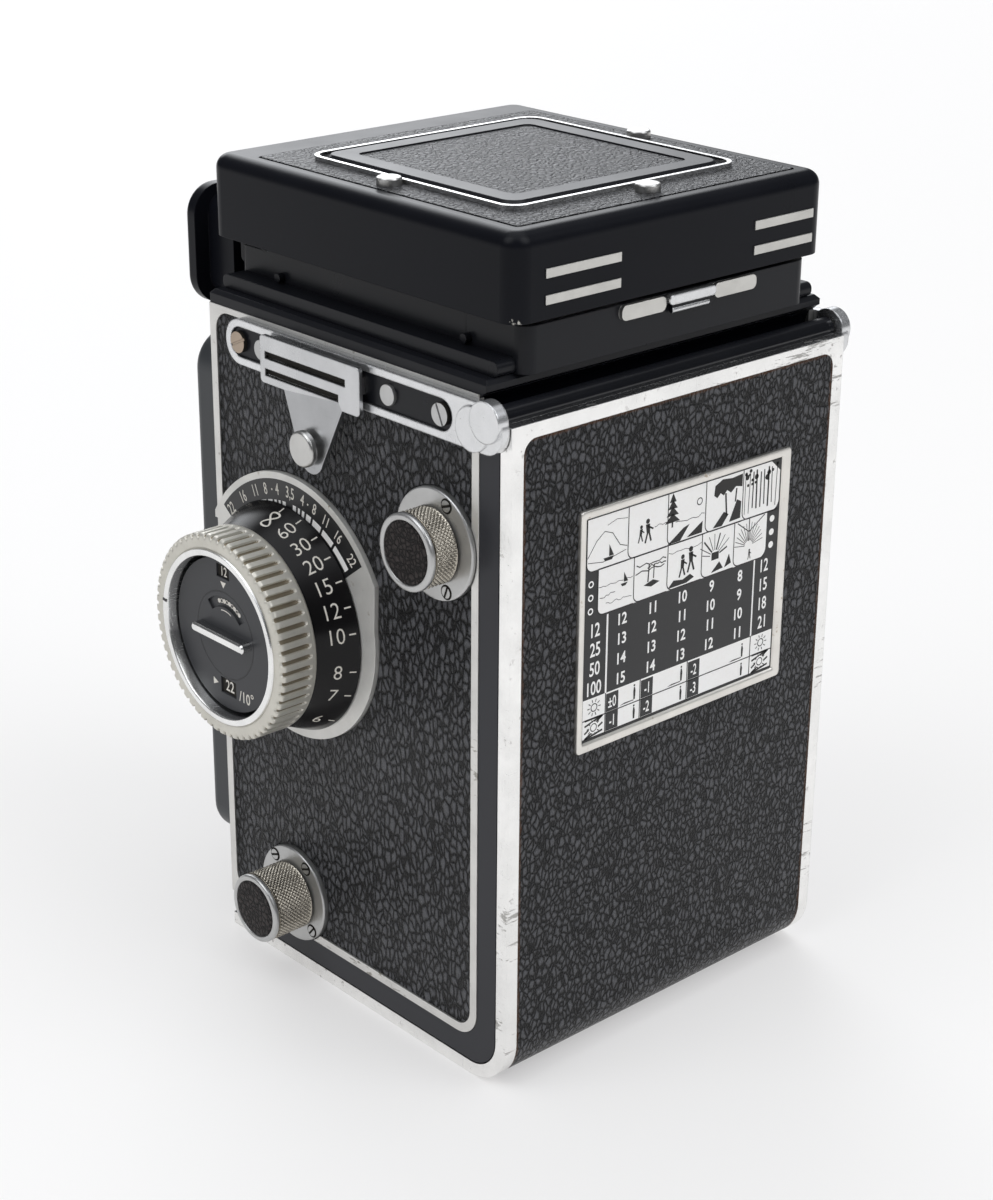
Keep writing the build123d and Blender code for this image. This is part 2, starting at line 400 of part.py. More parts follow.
fr = chamfer(fr.edges().group_by(Axis.Z)[-1], 0.45) - rbox(Axis.Z, -20.0, 20.0, -21.4, 18.4, z1 + 0.1, z1 + 3, 1.5)
put("sports_finder_frame", fr)
put("lid_leather", rbox(Axis.Z, -31.5, 31.5, -33.2, 31.7, z1 - 0.5, z1 + 0.1, 0.7), rbox(Axis.Z, -19.9, 19.9, -21.3, 18.3, z1 + 0.1, z1 + 0.7, 1.4))
wo = rbox(Axis.Z, -26.2, 26.2, -27.2, 24.6, z1 + 0.1, z1 + 0.85, 3.6) - rbox(Axis.Z, -25.4, 25.4, -26.4, 23.8, z1 - 1, z1 + 3, 2.9)
studs = []
for x, y in ((28.4, -2.5), (-29.4, -2.8), (-0.5, 27.9)):
    q = cz(x, y, 2.15, z1 + 0.1, z1 + 1.5)
    studs.append(fillet(q.edges().group_by(Axis.Z)[-1], 0.35))
stripes = []
for xa, xb in ((13.2, 29.4), (-32.3, -17.9)):
    for za in (141.6, 137.4):
        stripes.append(box(xa, xb, y1, y1 + 0.22, za, za + 1.5))
put("lid_bright_trim", wo, studs, stripes)

mg = rbox(Axis.Z, -18.0, 18.0, -4.4, 31.0, 143.6, 145.2, 3.0)
mg = mg - cz(0, 13.8, 14.2, 140, 150) + cx(-4.6, 145.4, 1.5, -20.0, 20.0) - cx(-4.6, 145.4, 0.7, -25, 25)
put("magnifier_frame", mg)
put("lid_shell", lid, cx(-4.6, 145.4, 0.65, -22.4, 22.4))
gl = cz(0, 13.8, 14.15, 143.7, 145.1)
put("magnifier_lens", gl)

sl_pts = [(30.2, -33.0), (30.2, 30.0), (0.9, 1.0), (0.9, -33.0)]
sl = prism_z(sl_pts, 129.0, 129.8)
kn = [Pos(30.35, y, 129.6) * Rot(90, 0, 0) * Cylinder(0.95, 9.0) for y in (-26.0, 0.0, 22.0)]
sl = sl - box(29.2, 31, -36, 31, 128, 131)
for y, q in zip((-26.0, 0.0, 22.0), kn):
    sl = sl + box(29.0, 30.35, y - 4.5, y + 4.5, 129.0, 129.8) + q
left_leaf = sl - cy(30.35, 129.6, 0.5, 60, -60)
put("left_hood_leaf", left_leaf)
put("right_hood_leaf", mir(left_leaf))
rl = box(-27.5, 27.5, -8.0, 32.2, 131.9, 132.7)
rl = rl - box(-40, 40, 31.0, 33, 131, 134)
for xa in (-22.0, 12.0):
    rl = rl + box(xa, xa + 10, 30.5, 32.4, 131.9, 132.7) + cx(32.4, 132.5, 0.95, xa, xa + 10)
rl = rl - cx(32.4, 132.5, 0.5, -60, 60)
put("rear_hood_leaf", rl)

# ---- hinged back ----------------------------------------------------------------------------------------


def lprof(d, xh):
    """Solid quarter behind the outer profile of the door, moved inwards by d."""
    q = box(-xh, xh, -38.9, BACK - d, d, DOOR_TOP)
    return fillet(q.edges().filter_by(Axis.X).filter_by(lambda e: e.center().Y > 30 and e.center().Z < 12), 9.0 - d)


core = box(-50, 50, -60, DOOR_IN, FLOOR_IN, 140)
core = fillet(core.edges().filter_by(Axis.X).filter_by(lambda e: e.center().Y > 30 and e.center().Z < 12), 6.5)
door = lprof(0, HX) - core


def panel(x, ya, zt, r):
    """Block with its two upper corners rounded, seen from behind."""
    q = box(-x, x, ya, 60, -5, zt)
    return fillet(q.edges().filter_by(Axis.Y).filter_by(lambda e: e.center().Z > 100), r)


leather = (lprof(0.05, HX) - lprof(0.75, HX + 5)) & panel(36.3, -36.4, 117.8, 2.6)
pocket = (lprof(-1.0, HX) - lprof(0.75, HX + 5)) & panel(36.4, -36.5, 117.9, 2.7)
door = door - pocket
door = door - cz(0, 0, 10.0, -5, 5)
leather = leather - cz(0, 0, 11.4, -5, 5)
door = door + (cz(0, 0, 11.3, 0.1, 0.9) - cz(0, 0, 10.0, -5, 5))
barrel = cx(HINGE_Y, HINGE_Z, 2.0, -38.6, 38.6) + box(-38.6, 38.6, 35.6, 37.2, 118.4, 120.3)
door = door + barrel - cx(HINGE_Y, HINGE_Z, 1.25, 31.0, 45) - cx(HINGE_Y, HINGE_Z, 1.25, -45, -31.0)
door = door - rbox(Axis.Z, -12.2, 12.2, -45, -37.4, 0.5, 2.1, 0.4)
put("back_door", door & box(-60, 60, 28.0, 60, -10, 160), door & box(-60, 60, -60, 28.0, -10, 160))
put("door_leather", leather)
ef = box(-26.07, 24.24, 38.95, 39.7, 60.1, 103.23)
ef = chamfer(ef.edges().group_by(Axis.Y)[-1], 0.4) - box(-23.9, 22.05, 38.9, 42, 62.3, 101.0)
put("exposure_table", ef, box(-23.8, 21.95, 38.95, 39.3, 62.4, 100.9))
put("pressure_plate", rbox(Axis.Y, -31.0, 31.0, 34.0, 35.2, 16.0, 82.0, 2.0), [cy(x, z, 1.6, 35.2, DOOR_IN) for x in (-20, 20) for z in (32, 66)])
lt = box(-7.0, 7.0, -39.9, -37.5, 0.6, 2.0) + rbox(Axis.Z, -5.0, 5.0, -41.2, -38.95, 0.3, 2.3, 0.4)
put("door_latch", lt)

# ---- film crank -----------------------------------------------------------------------------------------
hub = cx(CRK_Y, CRK_Z, 8.0, -44.6, -40.1)
hub = chamfer(hub.edges().group_by(Axis.X)[0], 0.6) + cx(CRK_Y, CRK_Z, 3.0, -40.2, -33.2)
arm = rbox(Axis.X, -47.0, -44.6, CRK_Y - 4.2, CRK_Y + 4.2, CRK_Z - 4.2, CRK_Z + 25.0, 4.1)
arm = arm + cx(CRK_Y, CRK_Z + 20.6, 1.5, -56.4, -46.9)
put("film_crank", hub + arm, cx(CRK_Y, CRK_Z + 20.6, 2.4, -56.9, -56.4))
gr = cx(CRK_Y, CRK_Z + 20.6, 4.0, -55.6, -47.2)
gr = chamfer(gr.edges(), 0.6) - cx(CRK_Y, CRK_Z + 20.6, 1.56, -60, -40)
put("crank_grip", gr)

for name, shape in OUT.items():
    if isinstance(shape, Compound) and not isinstance(shape, Part):
        shape.label = name
    export_step(shape, f"parts/{name}.step")
print(len(OUT), "nodes written")
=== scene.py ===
"""Looks of the twin lens reflex camera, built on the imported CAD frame. Metres, the CAD's own frame."""
import math

import bmesh
import bpy
import numpy as np
from mathutils import Matrix, Vector


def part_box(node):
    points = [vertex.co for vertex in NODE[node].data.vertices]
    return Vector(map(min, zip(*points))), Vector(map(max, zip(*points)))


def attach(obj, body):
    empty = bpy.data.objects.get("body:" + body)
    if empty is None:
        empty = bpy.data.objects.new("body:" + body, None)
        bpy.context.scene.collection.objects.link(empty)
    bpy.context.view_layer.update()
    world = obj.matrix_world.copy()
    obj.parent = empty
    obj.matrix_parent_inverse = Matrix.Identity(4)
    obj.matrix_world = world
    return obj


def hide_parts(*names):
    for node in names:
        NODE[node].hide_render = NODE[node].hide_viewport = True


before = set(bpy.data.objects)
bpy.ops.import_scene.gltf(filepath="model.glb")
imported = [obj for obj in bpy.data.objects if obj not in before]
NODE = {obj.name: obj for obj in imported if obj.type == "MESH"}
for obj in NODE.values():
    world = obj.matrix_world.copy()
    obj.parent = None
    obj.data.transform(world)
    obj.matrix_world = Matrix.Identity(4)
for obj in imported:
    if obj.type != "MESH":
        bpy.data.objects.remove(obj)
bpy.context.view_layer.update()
MM = 0.001
SC = bpy.context.scene


# ---- where the main parts are, from the frame ---------------------------------------------------------
def centre(node):
    lo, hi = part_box(node)
    return (lo + hi) / 2 / MM


def low(node):
    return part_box(node)[0] / MM


def high(node):
    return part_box(node)[1] / MM


RING = centre("focus_grip_ring")
FOC_Y, FOC_Z = RING.y, RING.z
UPK = centre("upper_spool_knob")
LOK = centre("lower_spool_knob")


# ---- node helpers -------------------------------------------------------------------------------------
class Mat:
    """A node material with a Principled shader; coordinates are the row frame in metres."""

    def __init__(self, name, color=(0.5, 0.5, 0.5), metallic=0.0, rough=0.5, spec=0.5):
        self.m = bpy.data.materials.new(name)
        self.m.use_nodes = True
        self.nt = self.m.node_tree
        self.nt.nodes.clear()
        out = self.nt.nodes.new("ShaderNodeOutputMaterial")
        self.b = self.nt.nodes.new("ShaderNodeBsdfPrincipled")
        self.nt.links.new(self.b.outputs[0], out.inputs[0])
        self.co = self.nt.nodes.new("ShaderNodeTexCoord").outputs["Object"]
        self.b.inputs["Base Color"].default_value = (*color, 1)
        self.b.inputs["Metallic"].default_value = metallic
        self.b.inputs["Roughness"].default_value = rough
        self.b.inputs["Specular IOR Level"].default_value = spec
        self.m.diffuse_color = (*color, 1)

    def put(self, sock, value):
        if isinstance(value, bpy.types.NodeSocket):
            self.nt.links.new(value, sock)
        elif isinstance(value, (tuple, list)) and len(value) == 3 and sock.type == "RGBA":
            sock.default_value = (*value, 1)
        else:
            sock.default_value = value

    def math(self, op, a, b=0.0, c=0.0, clamp=False):
        n = self.nt.nodes.new("ShaderNodeMath")
        n.operation, n.use_clamp = op, clamp
        for s, v in zip(n.inputs, (a, b, c)):
            self.put(s, v)
        return n.outputs[0]

    def vec(self, op, a, b=(0, 0, 0), scale=1.0):
        n = self.nt.nodes.new("ShaderNodeVectorMath")
        n.operation = op
        self.put(n.inputs[0], a)
        if op == "SCALE":
            n.inputs["Scale"].default_value = scale
        else:
            self.put(n.inputs[1], b)
        return n.outputs["Value"] if op in ("DISTANCE", "LENGTH", "DOT_PRODUCT") else n.outputs[0]

    def mapping(self, scale=(1, 1, 1), rot=(0, 0, 0), loc=(0, 0, 0), src=None):
        n = self.nt.nodes.new("ShaderNodeMapping")
        self.put(n.inputs[0], src or self.co)
        n.inputs["Location"].default_value = loc
        n.inputs["Rotation"].default_value = rot
        n.inputs["Scale"].default_value = scale
        return n.outputs[0]

    def noise(self, scale, detail=2.0, rough=0.5, src=None, color=False, dist=0.0):
        n = self.nt.nodes.new("ShaderNodeTexNoise")
        self.put(n.inputs["Vector"], src or self.co)
        n.inputs["Scale"].default_value = scale
        n.inputs["Detail"].default_value = detail
        n.inputs["Roughness"].default_value = rough
        n.inputs["Distortion"].default_value = dist
        return n.outputs["Color" if color else "Fac"]

    def voronoi(self, scale, feature="F1", src=None, out="Distance", rnd=1.0, smooth=0.5):
        n = self.nt.nodes.new("ShaderNodeTexVoronoi")
        n.feature = feature
        self.put(n.inputs["Vector"], src or self.co)
        n.inputs["Scale"].default_value = scale
        n.inputs["Randomness"].default_value = rnd
        if feature == "SMOOTH_F1":
            n.inputs["Smoothness"].default_value = smooth
        return n.outputs[out]

    def ramp(self, fac, *stops, mode="LINEAR"):
        n = self.nt.nodes.new("ShaderNodeValToRGB")
        n.color_ramp.interpolation = mode
        self.put(n.inputs[0], fac)
        e = n.color_ramp.elements
        while len(e) < len(stops):
            e.new(0.5)
        for el, (p, c) in zip(e, stops):
            el.position = p
            el.color = (c, c, c, 1) if isinstance(c, (int, float)) else (*c, 1)
        return n.outputs[0]

    def mix(self, fac, a, b):
        n = self.nt.nodes.new("ShaderNodeMix")
        n.data_type = "RGBA"
        self.put(n.inputs[0], fac)
        self.put(n.inputs[6], a)
        self.put(n.inputs[7], b)
        return n.outputs[2]

    def sep(self, src=None):
        n = self.nt.nodes.new("ShaderNodeSeparateXYZ")
        self.put(n.inputs[0], src or self.co)
        return n.outputs

    def bump(self, height, strength=0.5, distance=0.0002, normal=None):
        n = self.nt.nodes.new("ShaderNodeBump")
        n.inputs["Strength"].default_value = strength
        n.inputs["Distance"].default_value = distance
        self.put(n.inputs["Height"], height)
        if normal is not None:
            self.put(n.inputs["Normal"], normal)
        return n.outputs[0]

    def bevel(self, radius=0.00016):
        n = self.nt.nodes.new("ShaderNodeBevel")
        n.samples = 4
        n.inputs["Radius"].default_value = radius
        return n.outputs[0]

    def near(self, point, radius, soft=0.4):
        """1 near a point of the row frame (mm), falling to 0 at radius (mm)."""
        d = self.vec("DISTANCE", self.co, tuple(c * MM for c in point))
        return self.math("SUBTRACT", 1.0, self.math("DIVIDE", self.math("SUBTRACT", d, radius * (1 - soft) * MM), radius * soft * MM, clamp=True), clamp=True)

    def set(self, **kw):
        for k, v in kw.items():
            self.put(self.b.inputs[k.replace("_", " ")], v)
        return self


def leather(name, stretch=(1, 1, 1), cell=1.2, dark=(0.0006, 0.0006, 0.0009), tip=(0.086, 0.087, 0.094), rough=0.27, depth=0.0005, warp=0.0006, edge=None, edge_col=(0.08, 0.032, 0.012), spec=0.17):
    k = Mat(name, tip, 0, rough, spec)
    v = k.mapping(scale=stretch)
    w = k.vec("SCALE", k.vec("SUBTRACT", k.noise(520, 2, 0.55, v, color=True), (0.5, 0.5, 0.5)), scale=warp * 2)
    v2 = k.vec("ADD", v, w)
    e = k.voronoi(1000 / cell, "DISTANCE_TO_EDGE", v2)
    f = k.voronoi(1000 / cell, "F1", v2)
    dome = k.ramp(e, (0.0, 0.0), (0.07, 0.10), (0.17, 0.72), (0.32, 1.0), mode="EASE")
    fine = k.noise(5200, 3, 0.6, v)
    cross = k.voronoi(2600, "DISTANCE_TO_EDGE", v2)
    h = k.math("MULTIPLY_ADD", dome, 0.80, k.math("MULTIPLY", fine, 0.13))
    h = k.math("MULTIPLY_ADD", k.ramp(cross, (0.0, 0.0), (0.25, 1.0)), 0.10, h)
    big = k.noise(90, 2, 0.5)
    h = k.math("MULTIPLY_ADD", big, 0.25, h)
    rnd = k.sep(k.voronoi(1000 / cell, "F1", v2, out="Color"))[0]
    # painted shade: the base colour falls to the dark colour in the creases between the pebbles (low end of dome) and
    # keeps the lighter tip colour on the pebble tops
    col = k.mix(dome, dark, k.mix(k.math("MULTIPLY_ADD", big, 0.5, k.math("MULTIPLY", rnd, 0.5)), tuple(c * 0.94 for c in tip), tuple(c * 1.08 for c in tip)))
    if edge:
        x, y, z = k.sep()
        ax = k.math("SUBTRACT", k.math("ABSOLUTE", k.math("SUBTRACT", x, edge[0] * MM)), edge[1] * MM)
        az = k.math("SUBTRACT", z, edge[2] * MM)
        m = k.math("MAXIMUM", ax, az)
        m = k.math("ADD", m, k.math("MULTIPLY", k.math("SUBTRACT", k.noise(700, 3), 0.5), 0.0009))
        mask = k.math("DIVIDE", k.math("ADD", m, 0.00055), 0.00045, clamp=True)
        col = k.mix(k.math("MULTIPLY", mask, 0.85), col, edge_col)
    k.set(Base_Color=col, Roughness=k.ramp(fine, (0.3, rough - 0.07), (0.7, rough + 0.10)), Normal=k.bump(h, 1.0, depth))
    return k.m


def metal(name, color, rough, rvar=0.06, wear=0.0, tint=(0.30, 0.24, 0.16), scratch=0.25, brushed=None, pits=0.0, bump=0.25, spots=(), dirt=0.0, met=1.0, edge_r=0.00016, spot_gain=0.10):
    k = Mat(name, color, met, rough)
    n1 = k.noise(160, 4, 0.6)
    n2 = k.noise(1400, 3, 0.6)
    smudge = k.noise(45, 3, 0.6, dist=0.4)
    c = k.mix(k.ramp(n1, (0.35, 0.0), (0.75, 1.0)), color, tuple(x * 0.86 for x in color))
    r = k.math("MULTIPLY_ADD", k.math("SUBTRACT", smudge, 0.5), rvar * 2, rough)
    # hairline scratches in two directions
    s1 = k.noise(1.0, 3, 0.7, k.mapping(scale=(300, 260, 5200), rot=(0.5, 0.2, 0.1)))
    s2 = k.noise(1.0, 3, 0.7, k.mapping(scale=(4200, 3900, 320), rot=(0.25, 0.6, 0.3)))
    sc = k.math("MAXIMUM", k.ramp(s1, (0.62, 0.0), (0.70, 1.0)), k.ramp(s2, (0.62, 0.0), (0.70, 1.0)))
    sc = k.math("MULTIPLY", sc, k.ramp(n1, (0.45, 0.0), (0.62, 1.0)))
    r = k.math("MULTIPLY_ADD", sc, scratch, r)
    h = k.math("MULTIPLY_ADD", sc, -0.6, k.math("MULTIPLY", n2, 0.25))
    if brushed:
        b = k.noise(1.0, 3, 0.65, k.mapping(scale=brushed))
        h = k.math("MULTIPLY_ADD", b, 0.8, h)
        r = k.math("MULTIPLY_ADD", k.math("SUBTRACT", b, 0.5), 0.12, r)
    if pits or wear:
        p = k.noise(620, 4, 0.65)
        z = k.noise(75, 2, 0.5)
        t = 0.76 - 0.1 * wear
        m = k.math("MULTIPLY", k.ramp(p, (t - 0.05, 0.0), (t, 1.0)), k.ramp(z, (0.45, 0.0), (0.6, 1.0)))
        if spots:
            g = None
            for (pt, rad) in spots:
                q = k.near(pt, rad)
                g = q if g is None else k.math("MAXIMUM", g, q)
            u = k.math("ADD", k.noise(420, 5, 0.72, k.mapping(scale=(0.30, 0.7, 2.6), rot=(0.0, 0.12, 0.0))), k.math("MULTIPLY", g, spot_gain))
            u = k.math("MULTIPLY", k.ramp(u, (0.68, 0.0), (0.70, 1.0)), g)
            m = k.math("MAXIMUM", m, u)
        c = k.mix(k.math("MULTIPLY", m, 0.75), c, tint)
        r = k.math("MULTIPLY_ADD", m, 0.25, r)
        h = k.math("MULTIPLY_ADD", m, -0.8, h)
    if dirt:
        d = k.ramp(k.noise(1900, 3, 0.6), (0.55, 0.0), (0.75, 1.0))
        c = k.mix(k.math("MULTIPLY", d, dirt), c, tint)
    k.set(Base_Color=c, Roughness=r, Normal=k.bump(h, bump, 0.00005, k.bevel(edge_r)))
    return k.m


def paint(name, color=(0.010, 0.0105, 0.012), rough=0.3, spec=0.3, orange=0.12, dust=0.5, marks=(), coat=0.0):
    k = Mat(name, color, 0.0, rough, spec)
    n1 = k.noise(900, 3, 0.55)
    n2 = k.noise(60, 3, 0.6)
    d = k.voronoi(210, "F1", k.vec("ADD", k.co, k.vec("SCALE", k.noise(900, 2, color=True), scale=0.002)))
    dn = k.ramp(k.noise(120, 2), (0.55, 0.0), (0.62, 1.0))
    speck = k.math("MULTIPLY", k.ramp(d, (0.018, 1.0), (0.034, 0.0)), dn)
    c = k.mix(n2, tuple(x * 0.85 for x in color), tuple(x * 1.25 for x in color))
    c = k.mix(k.math("MULTIPLY", speck, dust), c, (0.35, 0.34, 0.32))
    r = k.math("MULTIPLY_ADD", k.math("SUBTRACT", n2, 0.5), 0.16, rough)
    h = k.math("MULTIPLY", n1, 0.5)
    if marks:
        g = None
        for (pt, rad) in marks:
            q = k.near(pt, rad, 0.8)
            g = q if g is None else k.math("MAXIMUM", g, q)
        u = k.math("ADD", k.math("MULTIPLY", g, 0.55), k.math("MULTIPLY", k.noise(1500, 4, 0.7), 0.6))
        u = k.math("MULTIPLY", k.ramp(u, (0.62, 0.0), (0.70, 1.0)), k.ramp(g, (0.0, 0.0), (0.08, 1.0)))
        c = k.mix(u, c, (0.62, 0.60, 0.55))
        r = k.math("MULTIPLY_ADD", u, 0.15, r)
    k.set(Base_Color=c, Roughness=r, Normal=k.bump(h, orange, 0.00006, k.bevel(0.00022)))
    if coat:
        k.b.inputs["Coat Weight"].default_value = coat
        k.b.inputs["Coat Roughness"].default_value = 0.08
    return k.m


def ink(name, color, rough=0.5, worn=0.25, spec=0.3, to=None, size=1500):
    """Printed or filled paint, a little uneven."""
    k = Mat(name, color, 0.0, rough, spec)
    n = k.noise(size, 4, 0.65)
    n2 = k.noise(150, 3, 0.6)
    dirty = to or tuple(c * 0.55 for c in color)
    m = k.math("MULTIPLY", k.ramp(n, (0.5, 0.0), (0.72, 1.0)), worn)
    c = k.mix(m, color, dirty)
    c = k.mix(k.math("MULTIPLY", k.ramp(n2, (0.4, 0.0), (0.8, 1.0)), worn * 0.6), c, dirty)
    k.set(Base_Color=c, Roughness=k.math("MULTIPLY_ADD", n, 0.15, rough - 0.07), Normal=k.bump(n, 0.12, 0.00003))
    return k.m


def glass(name, tint=(1, 1, 1), rough=0.02, coat_col=(0.35, 0.2, 0.6)):
    k = Mat(name, tint, 0.0, rough)
    k.b.inputs["Transmission Weight"].default_value = 1.0
    k.b.inputs["IOR"].default_value = 1.52
    n = k.noise(300, 3, 0.6)
    k.set(Roughness=k.math("MULTIPLY_ADD", k.ramp(n, (0.5, 0.0), (0.9, 1.0)), 0.06, rough))
    k.b.inputs["Specular Tint"].default_value = (*coat_col, 1)
    return k.m


# ---- mesh helpers (all input in mm) -------------------------------------------------------------------
PIECES = []


def new_obj(name, verts, faces, mats, mat_index=None, smooth=None, body="camera_body"):
    me = bpy.data.meshes.new(name)
    me.from_pydata([(v[0] * MM, v[1] * MM, v[2] * MM) for v in verts], [], faces)
    for m in mats:
        me.materials.append(m)
    if mat_index is not None:
        me.polygons.foreach_set("material_index", mat_index)
    if smooth is not None:
        me.polygons.foreach_set("use_smooth", smooth if isinstance(smooth, (list, np.ndarray)) else [smooth] * len(me.polygons))
    me.update()
    ob = bpy.data.objects.new(name, me)
    SC.collection.objects.link(ob)
    PIECES.append((ob, body))
    return ob


def revolve(name, cy_, cz_, rings, n, body, mats, mat_of=None, disp=None, smooth=True, sharp=()):
    """Surface of revolution about the X axis through (cy_, cz_). rings is [(x, r, material)]; disp(ring, angle) adds to r."""
    ang = np.arange(n) * 2 * math.pi / n
    verts, faces, mi = [], [], []
    for i, (x, r, m) in enumerate(rings):
        rr = np.full(n, float(r))
        if disp is not None:
            rr = rr + disp(x, ang, i)
        for a, q in zip(ang, rr):
            verts.append((x, cy_ + q * math.sin(a), cz_ + q * math.cos(a)))
    for i in range(len(rings) - 1):
        for j in range(n):
            k = (j + 1) % n
            faces.append((i * n + j, i * n + k, (i + 1) * n + k, (i + 1) * n + j))
            mi.append(rings[i][2])
    if rings[0][1] > 0:
        faces.append(tuple(range(n))[::-1])
        mi.append(rings[0][2])
    if rings[-1][1] > 0:
        faces.append(tuple(range((len(rings) - 1) * n, len(rings) * n)))
        mi.append(rings[-1][2])
    ob = new_obj(name, verts, faces, mats, mi, smooth, body)
    bm = bmesh.new()
    bm.from_mesh(ob.data)
    bmesh.ops.recalc_face_normals(bm, faces=bm.faces)
    for e in bm.edges:
        if len(e.link_faces) == 2 and e.calc_face_angle(0) > math.radians(38):
            e.smooth = False
    bm.to_mesh(ob.data)
    bm.free()
    return ob


_font = {}


def glyphs(text, height, sx=1.0, bold=0.0, res=3):
    """(points, triangles) of a line of numbers, centred, digits `height` tall, in mm."""
    key = (text, bold, res)
    if key not in _font:
        for t in (text, "0"):
            kk = (t, bold, res)
            if kk in _font:
                continue
            cu = bpy.data.curves.new("glyph", "FONT")
            cu.body, cu.size, cu.resolution_u = t, 1.0, res
            cu.offset = bold
            ob = bpy.data.objects.new("glyph", cu)
            SC.collection.objects.link(ob)
            bpy.context.view_layer.update()
            me = bpy.data.meshes.new_from_object(ob.evaluated_get(bpy.context.evaluated_depsgraph_get()))
            bm = bmesh.new()
            bm.from_mesh(me)
            bmesh.ops.triangulate(bm, faces=bm.faces)
            bm.verts.ensure_lookup_table()
            pts = np.array([v.co[:2] for v in bm.verts], float).reshape(-1, 2)
            tri = [tuple(v.index for v in f.verts) for f in bm.faces]
            bm.free()
            bpy.data.meshes.remove(me)
            bpy.data.objects.remove(ob)
            bpy.data.curves.remove(cu)
            _font[kk] = (pts, tri)
    zero = _font[("0", bold, res)][0]
    pts, tri = _font[key]
    k = height / (zero[:, 1].max() - zero[:, 1].min())
    mid = (zero[:, 1].max() + zero[:, 1].min()) / 2
    q = pts.copy()
    q[:, 0] = (q[:, 0] - (q[:, 0].max() + q[:, 0].min()) / 2) * k * sx
    q[:, 1] = (q[:, 1] - mid) * k
    return q, tri


def refine(pts, tri, longest):
    """Splits triangles until no edge is over `longest` mm, so that they can follow a curved surface."""
    pts = [tuple(p) for p in pts]
    for _ in range(6):
        out, mids, again = [], {}, False
        for a, b, c in tri:
            e = [(a, b), (b, c), (c, a)]
            ln = [math.dist(pts[i], pts[j]) for i, j in e]
            k = int(np.argmax(ln))
            if ln[k] <= longest:
                out.append((a, b, c))
                continue
            again = True
            i, j = e[k]
            o = (set((a, b, c)) - {i, j}).pop() if len({a, b, c}) == 3 else a
            key = (min(i, j), max(i, j))
            if key not in mids:
                mids[key] = len(pts)
                pts.append(((pts[i][0] + pts[j][0]) / 2, (pts[i][1] + pts[j][1]) / 2))
            m = mids[key]
            out += [(i, m, o), (m, j, o)]
        tri = out
        if not again:
            break
    return np.array(pts), tri


class Print:
    """Thin printed shapes gathered into one piece; `place` maps (u, v) in mm to the row frame."""

    def __init__(self, name, body, mats, place):
        self.name, self.body, self.mats, self.place = name, body, mats, place
        self.v, self.f, self.mi = [], [], []

    def tris(self, pts, tri, mat, lift=0.0, place=None):
        n = len(self.v)
        for p in pts:
            self.v.append((place or self.place)(p[0], p[1], lift))
        self.f += [tuple(i + n for i in t) for t in tri]
        self.mi += [mat] * len(tri)

    def poly(self, pts, mat, lift=0.0):
        n = len(self.v)
        self.v += [self.place(p[0], p[1], lift) for p in pts]
        self.f.append(tuple(range(n, n + len(pts))))
        self.mi.append(mat)

    def rect(self, u0, u1, v0, v1, mat, lift=0.0, r=(0, 0, 0, 0)):
        """r: corner radii at (u0,v0), (u1,v0), (u1,v1), (u0,v1)."""
        pts = []
        for (cx_, cy_, sx, sy, rad, a0) in ((u0, v0, 1, 1, r[0], 180), (u1, v0, -1, 1, r[1], 270), (u1, v1, -1, -1, r[2], 0), (u0, v1, 1, -1, r[3], 90)):
            if rad <= 0:
                pts.append((cx_, cy_))
            else:
                for i in range(9):
                    a = math.radians(a0 + 90 * i / 8)
                    pts.append((cx_ + sx * rad + rad * math.cos(a), cy_ + sy * rad + rad * math.sin(a)))
        self.poly(pts, mat, lift)

    def line(self, pts, w, mat, lift=0.0, closed=False):
        """A ribbon of width w along the points."""
        p = [Vector(q) for q in pts]
        n = len(p)
        L, R = [], []
        for i in range(n):
            a = p[i - 1] if (i > 0 or closed) else p[i]
            b = p[(i + 1) % n] if (i < n - 1 or closed) else p[i]
            d = (b - a)
            d = d.normalized() if d.length > 1e-9 else Vector((1, 0))
            nrm = Vector((-d.y, d.x)) * (w / 2)
            L.append(p[i] + nrm)
            R.append(p[i] - nrm)
        m = n if closed else n - 1
        for i in range(m):
            j = (i + 1) % n
            self.poly([R[i], R[j], L[j], L[i]], mat, lift)

    def disc(self, u, v, r, mat, lift=0.0, n=24, ri=0.0, a0=0.0, a1=360.0):
        if ri <= 0:
            self.poly([(u + r * math.cos(math.radians(a0 + (a1 - a0) * i / n)), v + r * math.sin(math.radians(a0 + (a1 - a0) * i / n))) for i in range(n)], mat, lift)
        else:
            full = abs(a1 - a0) >= 360
            for i in range(n):
                t0, t1 = math.radians(a0 + (a1 - a0) * i / n), math.radians(a0 + (a1 - a0) * (i + 1) / n)
                self.poly([(u + ri * math.cos(t0), v + ri * math.sin(t0)), (u + r * math.cos(t0), v + r * math.sin(t0)), (u + r * math.cos(t1), v + r * math.sin(t1)), (u + ri * math.cos(t1), v + ri * math.sin(t1))], mat, lift)

    def text(self, s, u, v, h, mat, lift=0.0, sx=0.82, rot=0.0, bold=0.0):
        pts, tri = glyphs(s, h, sx, bold)
        c, sn = math.cos(rot), math.sin(rot)
        q = np.stack([u + pts[:, 0] * c - pts[:, 1] * sn, v + pts[:, 0] * sn + pts[:, 1] * c], 1)
        self.tris(q, tri, mat, lift)

    def make(self):
        return new_obj(self.name, self.v, self.f, self.mats, self.mi, False, self.body)


